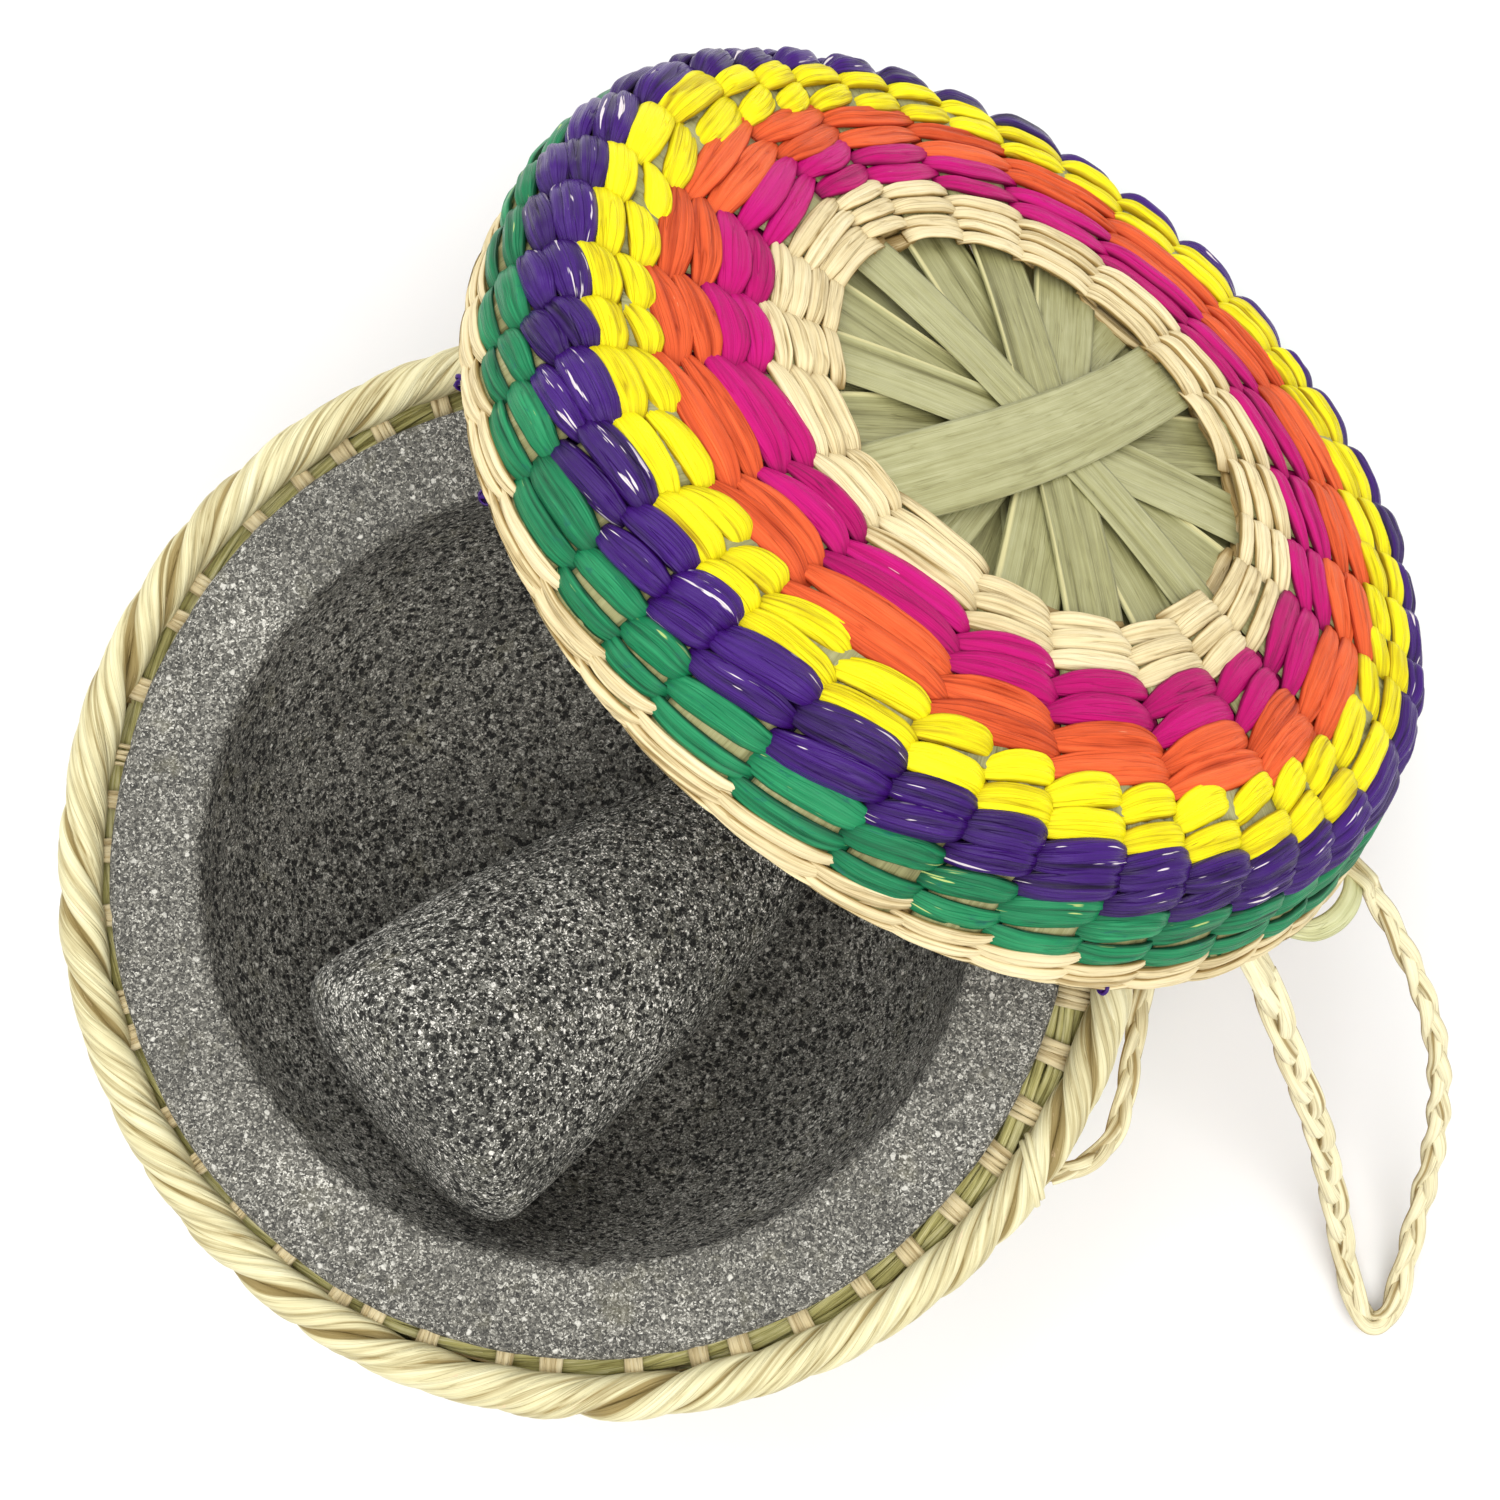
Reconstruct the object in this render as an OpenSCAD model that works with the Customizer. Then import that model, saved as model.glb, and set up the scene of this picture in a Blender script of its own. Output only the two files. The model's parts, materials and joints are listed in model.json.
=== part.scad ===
// Stone mortar and pestle in a woven palm basket, with the woven lid leaning on the basket.
// The origin is the middle of the basket's base, on the table, and +Z is up.

/* [Mortar] */
// Diameter of the mortar across its lip
mortar_d = 200; // [180:1:202]
// Diameter of the bowl's mouth
bowl_d = 161; // [140:1:164]
// Depth of the bowl below the lip
bowl_depth = 72; // [60:1:76]
// Depth of the carved body below the lip, without the feet
mortar_depth = 86; // [82:1:92]
// Number of feet
foot_count = 3; // [3:1:4]
// How far the mortar sits off the basket's middle, towards -X
mortar_off_x = 1.9; // [0:0.1:2]
// How far the mortar sits off the basket's middle, towards -Y
mortar_off_y = 0.9; // [0:0.1:1]

/* [Pestle] */
// Length of the pestle
pestle_len = 108; // [95:1:110]
// Radius of the grinding end
pestle_head_r = 33; // [28:0.5:33]
// Radius of the grip end
pestle_grip_r = 20.5; // [16:0.5:21]
// Downward slope of the pestle from its head to its grip
pestle_slope = 26; // [24:1:28]
// Compass direction of the pestle from its head to its grip
pestle_turn = 39; // [36:1:42]

/* [Basket] */
// Height of the basket to the top of its rope rim
basket_h = 115; // [112:1:118]
// Radius of the basket's wall below the rim
basket_r = 109; // [108.5:0.1:109.5]
// Radius of the basket's flat base
base_r = 92; // [90:0.5:94]
// Thickness of the woven base
base_t = 4; // [3.8:0.1:4.2]
// Thickness of the rope on the rim
rope_d = 9; // [8:0.1:9.2]
// Number of lashings on the rim
lashing_count = 56; // [40:1:60]

/* [Lid] */
// Radius of the lid at its open edge
lid_r = 118; // [117:0.5:119]
// Height of the lid
lid_h = 33; // [31:0.5:35]
// Angle that the lid leans from flat
lid_lean = 45; // [44:0.5:46]
// Compass direction that the lid's top faces
lid_turn = 43.5; // [42:0.5:45]
// X of the middle of the lid's open edge
lid_x = 75.4; // [75:0.1:77]
// Y of the middle of the lid's open edge
lid_y = 78.3; // [78:0.1:80]
// Radius of the open star of leaf strips
star_r = 53; // [51:0.5:55]
// Number of leaf strips that cross in the star
strip_count = 9; // [7:1:9]

/* [Weave] */
// Thickness of the coloured weft
weft_t = 3; // [2.6:0.1:3.2]
// Thickness of the palm spokes behind the weft
spoke_t = 1.2; // [1:0.1:1.4]
// Thickness of a leaf strip
strip_t = 0.45; // [0.3:0.05:0.45]

/* [Straps] */
// Thickness of the lid's braided strap
strap_d = 6.4; // [5.6:0.1:6.6]
// Thickness of the basket's braided loop
loop_d = 5.4; // [4.4:0.1:5.6]

/* [Hidden] */

$fn = 96;
cream = "#EADDB6";
leaf_green = "#B4B582";
magenta = "#BE0A6E";
orange = "#EB5F2D";
yellow = "#F2DC14";
purple = "#3C1978";
green = "#148C5A";
stone_grey = "#6E6E6E";

seat_gap = 0.4;
lip_round = 2;
mortar_foot_r = 12;
mortar_foot_root_r = 20;
mortar_foot_spread = 52;
bowl_power = 2.8;
body_power = 2.8;
mortar_top = basket_h;
foot_floor = base_t + seat_gap;

pestle_head = [-43.5, -51.2, 111.5];
pestle_head_round = 15;
pestle_grip_round = 10;
round_power = 0.5;

star_tuck = 4;
lid_z = lid_r * sin(lid_lean) + 0.5;

rope_z = basket_h - rope_d / 2;
core_r = 1.6;
core_ring_r = basket_r - 4.6;
core_z = rope_z - 6;
tie_t = 0.6;
tie_clear = 0.1;
wall_top = basket_h - 13;

// Outline of the basket's wall as [radius, height], from the table up
basket_outline = [
    [base_r, 0], [base_r + 5, 6], [base_r + 9.5, 20], [basket_r - 4.5, 34], [basket_r - 2.2, 48],
    [basket_r - 0.9, 62], [basket_r - 0.2, 76], [basket_r, 90], [basket_r, wall_top]
];
// Outline of the lid as [radius, height above its open edge], from the star outwards
lid_outline = [
    [star_r, lid_h], [star_r + star_tuck, lid_h], [66, lid_h - 0.4], [78, lid_h - 1.6],
    [90, lid_h - 3.2], [97.5, lid_h - 4.3], [103.5, lid_h - 6.4], [107.5, lid_h - 10.5],
    [110, lid_h / 2], [lid_r - 3.5, lid_h / 4], [lid_r, 0]
];

// Directions and widths of the leaf strips in a star, from the lowest to the top one
strip_angles = [8, 150, 68, 108, 28, 128, 48, 88, 172];
strip_widths = [12, 13, 12, 11, 12, 14, 12, 12, 17];

// Route of the lid's strap, from one end at the lid's edge, over the table, to the other end
strap_route = [
    [139, -23, 99], [144, -33, 89], [150, -44, 74], [157, -56, 56], [163, -68, 37], [168, -80, 21],
    [172, -92, 9], [175, -103, 5], [179, -111, 4], [184, -109, 4], [187, -98, 7], [189, -84, 13],
    [190, -70, 24], [189, -56, 37], [186, -42, 50], [181, -29, 60], [174, -16, 68], [166, -3.5, 73.5]
];
// Route of the basket's loop along the outside of the rim
loop_route = [
    [94, -64, 101], [101, -62, 100], [107, -57, 98], [110, -49, 97], [112, -38, 96], [114, -27, 96],
    [116, -14, 95], [117, 0, 95], [116, 12, 96], [113, 22, 98], [109, 29, 101]
];
loop_tie_angles = [-34.5, 15];
strap_tie_angles = [255, 278];
knot_angles = [136, 150, 233];
tube_sides = 8;

// Unit direction of a 2-D line
function unit(v) = v / norm(v);
// Direction across an outline at point i, turned towards the inside of the basket or lid
function across(o, i, side) =
    let (a = unit(o[min(i + 1, len(o) - 1)] - o[max(i - 1, 0)]))
    side * [-a[1], a[0]];
// The outline moved sideways by a distance
function moved(o, by, side) = [for (i = [0:len(o) - 1]) o[i] + by * across(o, i, side)];
// A closed section between two depths under an outline, from point i0 to point i1
function skin(o, i0, i1, d0, d1, side) =
    let (a = moved(o, d0, side), b = moved(o, d1, side))
    concat([for (i = [i0:i1]) a[i]], [for (i = [i1:-1:i0]) b[i]]);

// A point on a smooth curve through four route points
function spline(p0, p1, p2, p3, t) =
    0.5 * (2 * p1 + (p2 - p0) * t + (2 * p0 - 5 * p1 + 4 * p2 - p3) * t * t
    + (3 * p1 - p0 - 3 * p2 + p3) * t * t * t);
// The route with one more point between each pair
function smooth_route(r) = concat(
    [for (i = [0:len(r) - 2], k = [0:1])
        spline(r[max(i - 1, 0)], r[i], r[i + 1], r[min(i + 2, len(r) - 1)], k / 2)],
    [r[len(r) - 1]]);
function heading(r, i) = unit(r[min(i + 1, len(r) - 1)] - r[max(i - 1, 0)]);
// A ring of points round the route at point i
function ring(r, i, rad) =
    let (t = heading(r, i), u = unit(cross(t, [0.3, 0.2, 1])), v = cross(t, u))
    [for (k = [0:tube_sides - 1])
        r[i] + rad * (cos(360 * k / tube_sides) * u + sin(360 * k / tube_sides) * v)];

// A round cord swept along a route
module cord(route, d) {
    r = smooth_route(route);
    n = len(r);
    points = [for (i = [0:n - 1]) each ring(r, i, d / 2)];
    sides = [for (i = [0:n - 2], k = [0:tube_sides - 1])
        let (a = i * tube_sides + k, b = i * tube_sides + (k + 1) % tube_sides)
        [a, b, b + tube_sides, a + tube_sides]];
    start = [for (k = [tube_sides - 1:-1:0]) k];
    finish = [for (k = [0:tube_sides - 1]) (n - 1) * tube_sides + k];
    polyhedron(points, concat([start], sides, [finish]), convexity = 6);
}

// Puts children made flat, with their open edge at z = 0, where the lid leans
module lid_place() {
    translate([lid_x, lid_y, lid_z]) rotate([0, lid_lean, lid_turn]) children();
}

// One coloured band of the basket's wall
module basket_band(i0, i1) {
    rotate_extrude() polygon(skin(basket_outline, i0, i1, 0, weft_t, 1));
}

// One coloured band of the lid
module lid_band(i0, i1) {
    lid_place() rotate_extrude() polygon(skin(lid_outline, i0, i1, 0, weft_t, -1));
}

// One flat leaf strip of a star, on its own level
module star_strip(k) {
    translate([0, 0, k * strip_t]) rotate([0, 0, strip_angles[k]]) intersection() {
        translate([-star_r - star_tuck, -strip_widths[k] / 2, 0])
            cube([2 * (star_r + star_tuck), strip_widths[k], strip_t]);
        cylinder(r = star_r + star_tuck - 0.4, h = strip_t);
    }
}

// One leaf strip of the lid's star
module lid_star_strip(k) {
    color(leaf_green) lid_place()
        translate([0, 0, lid_h - weft_t - strip_count * strip_t]) star_strip(k);
}

// Short wraps round a ring of cord that runs round the Z axis
module ring_wraps(ring_r, z, inner_r, outer_r, angles, width) {
    for (a = angles) rotate([0, 0, a - width / 2]) rotate_extrude(angle = width)
        translate([ring_r, z]) difference() {
            circle(r = outer_r, $fn = 32);
            circle(r = inner_r, $fn = 32);
        }
}

module basket_base_star() {
    color(leaf_green) for (k = [0:strip_count - 1])
        intersection() {
            star_strip(k);
            cylinder(r = star_r, h = base_t + 1);
        }
}

module basket_base_weft() {
    inner = moved(basket_outline, weft_t + spoke_t, 1)[0];
    color(cream) rotate_extrude()
        polygon([[star_r, 0], [base_r, 0], inner, [inner[0] - 2, base_t], [star_r, base_t]]);
}

module basket_spokes() {
    color(leaf_green) rotate_extrude()
        polygon(skin(basket_outline, 0, 8, weft_t, weft_t + spoke_t, 1));
}

module basket_foot_weft_cream() { color(cream) basket_band(0, 2); }
module basket_weft_green() { color(green) basket_band(2, 3); }
module basket_weft_purple() { color(purple) basket_band(3, 4); }
module basket_weft_yellow() { color(yellow) basket_band(4, 5); }
module basket_weft_orange() { color(orange) basket_band(5, 6); }
module basket_weft_magenta() { color(magenta) basket_band(6, 7); }
module basket_top_weft_cream() { color(cream) basket_band(7, 8); }

module basket_rim_core() {
    color(leaf_green) rotate_extrude() translate([core_ring_r, core_z]) circle(r = core_r, $fn = 32);
}

module basket_rim_rope() {
    color(cream) rotate_extrude() translate([basket_r, rope_z]) circle(d = rope_d, $fn = 48);
}

module basket_rim_lashings() {
    color(cream) ring_wraps(core_ring_r, core_z, core_r + tie_clear, core_r + tie_clear + 0.5,
        [for (k = [0:lashing_count - 1]) 360 * k / lashing_count], 1.6);
}

module basket_loop() { color(cream) cord(loop_route, loop_d); }

module basket_loop_ties() {
    color(cream) ring_wraps(basket_r, rope_z, rope_d / 2 + tie_clear, rope_d / 2 + tie_clear + tie_t,
        loop_tie_angles, 5);
}

// Carved stone: a bowl in a rounded body, with a flat sanded lip and stub feet
module mortar() {
    lip_r = mortar_d / 2;
    mouth_r = bowl_d / 2;
    bowl = [for (a = [0:6:84])
        [mouth_r * pow(sin(a), 2 / bowl_power), mortar_top - bowl_depth * cos(a)]];
    body = [for (a = [84:-6:0])
        [lip_r * pow(sin(a), 2 / body_power), mortar_top - mortar_depth * cos(a)]];
    lip = [[mouth_r, mortar_top - lip_round], [mouth_r + lip_round, mortar_top],
        [lip_r - lip_round, mortar_top], [lip_r, mortar_top - lip_round]];
    color(stone_grey) translate([-mortar_off_x, -mortar_off_y, 0]) union() {
        rotate_extrude() polygon(concat(bowl, lip, body));
        for (k = [0:foot_count - 1]) rotate([0, 0, 90 + 360 * k / foot_count])
            mortar_foot();
    }
}

// One stub foot, from the basket's floor up into the mortar's body
module mortar_foot() {
    rise = mortar_top - mortar_depth + 14 - foot_floor;
    translate([mortar_foot_spread, 0, foot_floor])
        cylinder(r1 = mortar_foot_r, r2 = mortar_foot_root_r, h = rise);
}

// Carved stone: a blunt head that tapers to a rounded grip
module pestle() {
    mid = pestle_len - pestle_head_round - pestle_grip_round;
    head = [for (a = [0:9:90])
        [pestle_head_r * pow(sin(a), round_power), pestle_head_round * (1 - cos(a))]];
    taper = [for (t = [0.2:0.2:0.8])
        [pestle_head_r + (pestle_grip_r - pestle_head_r) * (0.4 * t + 0.6 * t * t),
            pestle_head_round + mid * t]];
    grip = [for (a = [90:-9:0])
        [pestle_grip_r * pow(sin(a), round_power), pestle_len - pestle_grip_round * (1 - cos(a))]];
    color(stone_grey) translate(pestle_head) rotate([0, 90 + pestle_slope, pestle_turn])
        rotate_extrude() polygon(concat(head, taper, grip));
}

module lid_spokes() {
    color(leaf_green) lid_place() rotate_extrude()
        polygon(skin(lid_outline, 1, 10, weft_t, weft_t + spoke_t, -1));
}

module lid_inner_weft_cream() { color(cream) lid_band(0, 2); }
module lid_weft_magenta() { color(magenta) lid_band(2, 3); }
module lid_weft_orange() { color(orange) lid_band(3, 4); }
module lid_weft_yellow() { color(yellow) lid_band(4, 6); }
module lid_weft_purple() { color(purple) lid_band(6, 8); }
module lid_weft_green() { color(green) lid_band(8, 9); }
module lid_rim_weft_cream() { color(cream) lid_band(9, 10); }

// Knots of purple thread under the lid's edge
module lid_rim_knots() {
    color(purple) lid_place() for (a = knot_angles) rotate([0, 0, a])
        translate([lid_r - 0.8, 0, -2.2]) sphere(r = 1.5, $fn = 24);
}

// Leaf wraps that hold the strap to the lid's edge
module lid_strap_ties() {
    color(leaf_green) lid_place() for (a = strap_tie_angles) rotate([0, 0, a - 2])
        rotate_extrude(angle = 4) translate([lid_r - 4, -3.6]) square([4, 1.6]);
}

module lid_strap() { color(cream) cord(strap_route, strap_d); }

basket_base_star();
basket_base_weft();
basket_spokes();
basket_foot_weft_cream();
basket_weft_green();
basket_weft_purple();
basket_weft_yellow();
basket_weft_orange();
basket_weft_magenta();
basket_top_weft_cream();
basket_rim_core();
basket_rim_rope();
basket_rim_lashings();
basket_loop();
basket_loop_ties();
mortar();
pestle();
for (k = [0:strip_count - 1])
    lid_star_strip(k);
lid_spokes();
lid_inner_weft_cream();
lid_weft_magenta();
lid_weft_orange();
lid_weft_yellow();
lid_weft_purple();
lid_weft_green();
lid_rim_weft_cream();
lid_rim_knots();
lid_strap_ties();
lid_strap();
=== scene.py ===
"""Looks for the molcajete set: a stone mortar and pestle, and a woven palm basket with its lid.

Lengths in mesh code are in mm."""

import json
import math

import bpy
import numpy as np
from mathutils import Matrix, Vector


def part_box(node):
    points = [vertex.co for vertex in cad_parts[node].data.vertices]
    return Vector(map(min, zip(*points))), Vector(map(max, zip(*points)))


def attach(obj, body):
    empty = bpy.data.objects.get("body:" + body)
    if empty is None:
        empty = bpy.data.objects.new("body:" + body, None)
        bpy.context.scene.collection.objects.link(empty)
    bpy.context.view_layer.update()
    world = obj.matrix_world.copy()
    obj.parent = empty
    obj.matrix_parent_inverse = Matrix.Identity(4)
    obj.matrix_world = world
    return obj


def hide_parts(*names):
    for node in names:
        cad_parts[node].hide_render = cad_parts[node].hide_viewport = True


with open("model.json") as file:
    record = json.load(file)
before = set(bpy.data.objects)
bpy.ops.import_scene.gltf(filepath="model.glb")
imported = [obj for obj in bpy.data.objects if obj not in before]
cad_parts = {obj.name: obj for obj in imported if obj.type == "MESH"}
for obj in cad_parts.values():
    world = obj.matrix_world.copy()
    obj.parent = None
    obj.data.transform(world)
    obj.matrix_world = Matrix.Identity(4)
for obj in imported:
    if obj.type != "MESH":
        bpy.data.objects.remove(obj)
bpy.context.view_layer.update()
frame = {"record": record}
record = frame["record"]
joints = {j["name"]: j for j in record["behaviour"]["joints"]}
rng = np.random.default_rng(11)
TURN = 2 * math.pi
SHIFT_SPAN = 900  # strips are cut from places up to this many mm apart, so no two look alike

# ---------------- camera, light, floor

camera_data = bpy.data.cameras.new("camera")
camera_data.lens = 57.6
camera_data.sensor_width = 36
camera = bpy.data.objects.new("camera", camera_data)
bpy.context.collection.objects.link(camera)
right = Vector((0.99870, 0.00264, -0.05087))
up = Vector((0, 0.99866, 0.05181))
back = right.cross(up).normalized()
pose = Matrix((right, up, back)).transposed().to_4x4()
pose.translation = (0.0572, -0.0015, 0.6076)
camera.matrix_world = pose
bpy.context.scene.camera = camera
bpy.context.scene.view_settings.view_transform = "Standard"


def area_light(name, place, aim, size, power, colour):
    data = bpy.data.lights.new(name, "AREA")
    data.shape = "DISK"
    data.size = size
    data.energy = power
    data.color = colour
    lamp = bpy.data.objects.new(name, data)
    bpy.context.collection.objects.link(lamp)
    lamp.location = place
    lamp.rotation_euler = (Vector(aim) - Vector(place)).to_track_quat("-Z", "Y").to_euler()


area_light("key_light", (0.34, -0.42, 1.35), (0.03, 0.02, 0.08), 1.4, 12, (1, 0.985, 0.96))
area_light("fill_light", (-0.40, 0.70, 1.15), (0.0, 0.0, 0.06), 1.3, 8, (0.96, 0.98, 1))

world = bpy.data.worlds.new("studio")
bpy.context.scene.world = world
world.use_nodes = True
sky = world.node_tree.nodes["Background"]
sky.inputs["Color"].default_value = (1, 1, 1, 1)
sky.inputs["Strength"].default_value = 0.85

# ---------------- materials


class Paint:
    """One procedural material."""

    def __init__(self, name):
        self.material = bpy.data.materials.new(name)
        self.material.use_nodes = True
        self.tree = self.material.node_tree
        self.tree.nodes.clear()
        self.shader = self.tree.nodes.new("ShaderNodeBsdfPrincipled")
        out = self.tree.nodes.new("ShaderNodeOutputMaterial")
        self.tree.links.new(self.shader.outputs[0], out.inputs["Surface"])

    def node(self, kind, inputs=(), **settings):
        made = self.tree.nodes.new("ShaderNode" + kind)
        for key, value in settings.items():
            setattr(made, key, value)
        for key, value in dict(inputs).items():
            self.put(made.inputs[key], value)
        return made

    def put(self, socket, value):
        if isinstance(value, bpy.types.NodeSocket):
            self.tree.links.new(value, socket)
        else:
            socket.default_value = value

    def attribute(self, name):
        return self.node("Attribute", attribute_name=name).outputs["Vector"]

    def place(self):
        """Object coordinates in mm."""
        here = self.node("TexCoord").outputs["Object"]
        return self.vector("MULTIPLY", here, (1000, 1000, 1000))

    def noise(self, vector, scale, detail, rough, distort=0.0, output=0):
        look = {"Scale": scale, "Detail": detail, "Roughness": rough, "Distortion": distort}
        return self.node("TexNoise", {"Vector": vector, **look}).outputs[output]

    def streaks(self, fibre, along, across, detail, rough, shift=(0, 0, 0), distort=0.0):
        """Noise drawn out along a leaf. along and across are how often it changes in a mm."""
        inputs = {"Vector": fibre, "Scale": (along, across, 0), "Location": shift}
        return self.noise(self.node("Mapping", inputs).outputs[0], 1.0, detail, rough, distort)

    def cells(self, vector, scale):
        return self.node("TexVoronoi", {"Vector": vector, "Scale": scale})

    def ramp(self, value, stops):
        made = self.node("ValToRGB", {"Fac": value})
        points = made.color_ramp.elements
        while len(points) < len(stops):
            points.new(0.5)
        for point, (at, colour) in zip(points, stops):
            point.position = at
            point.color = (*colour, 1)
        return made.outputs[0]

    def range(self, value, low, high, to_low=0.0, to_high=1.0):
        return self.node("MapRange", {0: value, 1: low, 2: high, 3: to_low, 4: to_high}).outputs[0]

    def math(self, kind, a, b=0.0):
        return self.node("Math", {0: a, 1: b}, operation=kind).outputs[0]

    def plus(self, a, b):
        return self.math("ADD", a, b)

    def minus(self, a, b):
        return self.math("SUBTRACT", a, b)

    def times(self, a, b):
        return self.math("MULTIPLY", a, b)

    def swing(self, value, amount):
        """How far a 0 to 1 value is from its middle, times an amount."""
        return self.times(self.minus(value, 0.5), amount)

    def vector(self, kind, a, b):
        return self.node("VectorMath", {0: a, 1: b}, operation=kind).outputs[0]

    def mix(self, share, a, b, kind="MIX"):
        made = self.node("Mix", data_type="RGBA", blend_type=kind)
        self.put(made.inputs[0], share)
        for socket, value in ((made.inputs[6], a), (made.inputs[7], b)):
            self.put(socket, (*value, 1) if isinstance(value, tuple) else value)
        return made.outputs[2]

    def split(self, vector):
        return tuple(self.node("SeparateXYZ", {0: vector}).outputs)

    def bump(self, height, strength, distance):
        inputs = {"Height": height, "Strength": strength, "Distance": distance}
        return self.node("Bump", inputs).outputs[0]

    def finish(self, colour, rough, normal=None, specular=0.5):
        self.put(self.shader.inputs["Base Color"], colour)
        self.put(self.shader.inputs["Roughness"], rough)
        if normal is not None:
            self.put(self.shader.inputs["Normal"], normal)
        self.shader.inputs["Specular IOR Level"].default_value = specular
        return self.material


STRAW = (0.60, 0.55, 0.27)
PIT_SPACING = 1.60


def palm(name, dark, mid, light, rough=0.5, worn_and_glint=None, worn_and_glint_share=0.6, stain=None, stain_share=0.6, spec=0.3,
         bump=0.5, contrast=1.0):
    """Palm leaf: fine lengthwise fibres and creases, painted shade in its folds, and a tone for each strip.

    The fibre attribute is a point's place on its leaf in mm, and the strip's tone. The part attribute is how
    near the strip's edge a point is, how far along it is, and how much painted shade its creases, edges and
    underside get, below 0 at a midrib. worn is the colour of streaks on the crests: dye rubbed off, and on
    the purple whitish painted glints. stain is the colour of blotches."""
    p = Paint(name)
    fibre = p.attribute("fibre")
    tone = p.split(fibre)[2]
    edge, _, fold_shade_and_rib = p.split(p.attribute("part"))
    fine = p.streaks(fibre, 0.05, 4.2, 2, 0.6)
    broad = p.streaks(fibre, 0.035, 0.9, 2, 0.55)
    cloud = p.streaks(fibre, 0.14, 0.25, 2, 0.6)
    # Thin lines along the fibres: the bump sinks them as creases, and their darkening is painted shade in
    # them.
    crease_lines = p.streaks(fibre, 0.028, 0.62, 1, 0.5, (3, 9, 0))
    line = p.range(p.math("ABSOLUTE", p.minus(crease_lines, 0.5)), 0.022, 0.0)
    shade = p.plus(p.swing(fine, 0.55 * contrast), p.swing(broad, 0.6 * contrast))
    shade = p.plus(shade, p.swing(tone, 0.22))
    shade = p.plus(shade, p.swing(cloud, 0.3 * contrast))
    # Painted shade where the part attribute's third value is above 0: creases, strip edges, dives and
    # undersides.
    shade = p.minus(shade, p.times(p.math("MAXIMUM", fold_shade_and_rib, 0.0), 0.42))
    shade = p.minus(shade, p.times(line, 0.13))
    colour = p.ramp(p.plus(shade, 0.55), [(0.12, dark), (0.50, mid), (0.85, light)])
    if stain:
        blotches = p.streaks(fibre, 0.2, 0.45, 4, 0.7, distort=0.6)
        spots = p.range(blotches, stain_share, stain_share + 0.10)
        colour = p.mix(p.times(spots, 0.7), colour, stain)
    gloss = p.range(fine, 0.2, 0.8, rough + 0.1, rough - 0.06)
    # Streaks on a stitch's crest: dye rubbed off, and on the purple whitish painted glints.
    if worn_and_glint:
        streak = p.streaks(fibre, 0.085, 0.95, 2, 0.6, (13, 5, 0))
        crest = p.range(edge, 0.98, 0.6)
        where = p.range(p.streaks(fibre, 0.06, 0.11, 1, 0.5, (7, 0, 0)), 0.44, 0.60)
        level = p.plus(streak, p.times(p.minus(where, 1.0), 0.16))
        mask = p.times(p.range(level, worn_and_glint_share, worn_and_glint_share + 0.03), crest)
        colour = p.mix(mask, colour, worn_and_glint)
        gloss = p.plus(gloss, p.times(mask, 0.2))
    colour = p.mix(p.range(fold_shade_and_rib, -0.25, -0.6), colour, STRAW)
    height = p.minus(p.plus(fine, broad), p.times(line, 0.9))
    return p.finish(colour, gloss, p.bump(height, bump, 0.0005), spec)


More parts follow.
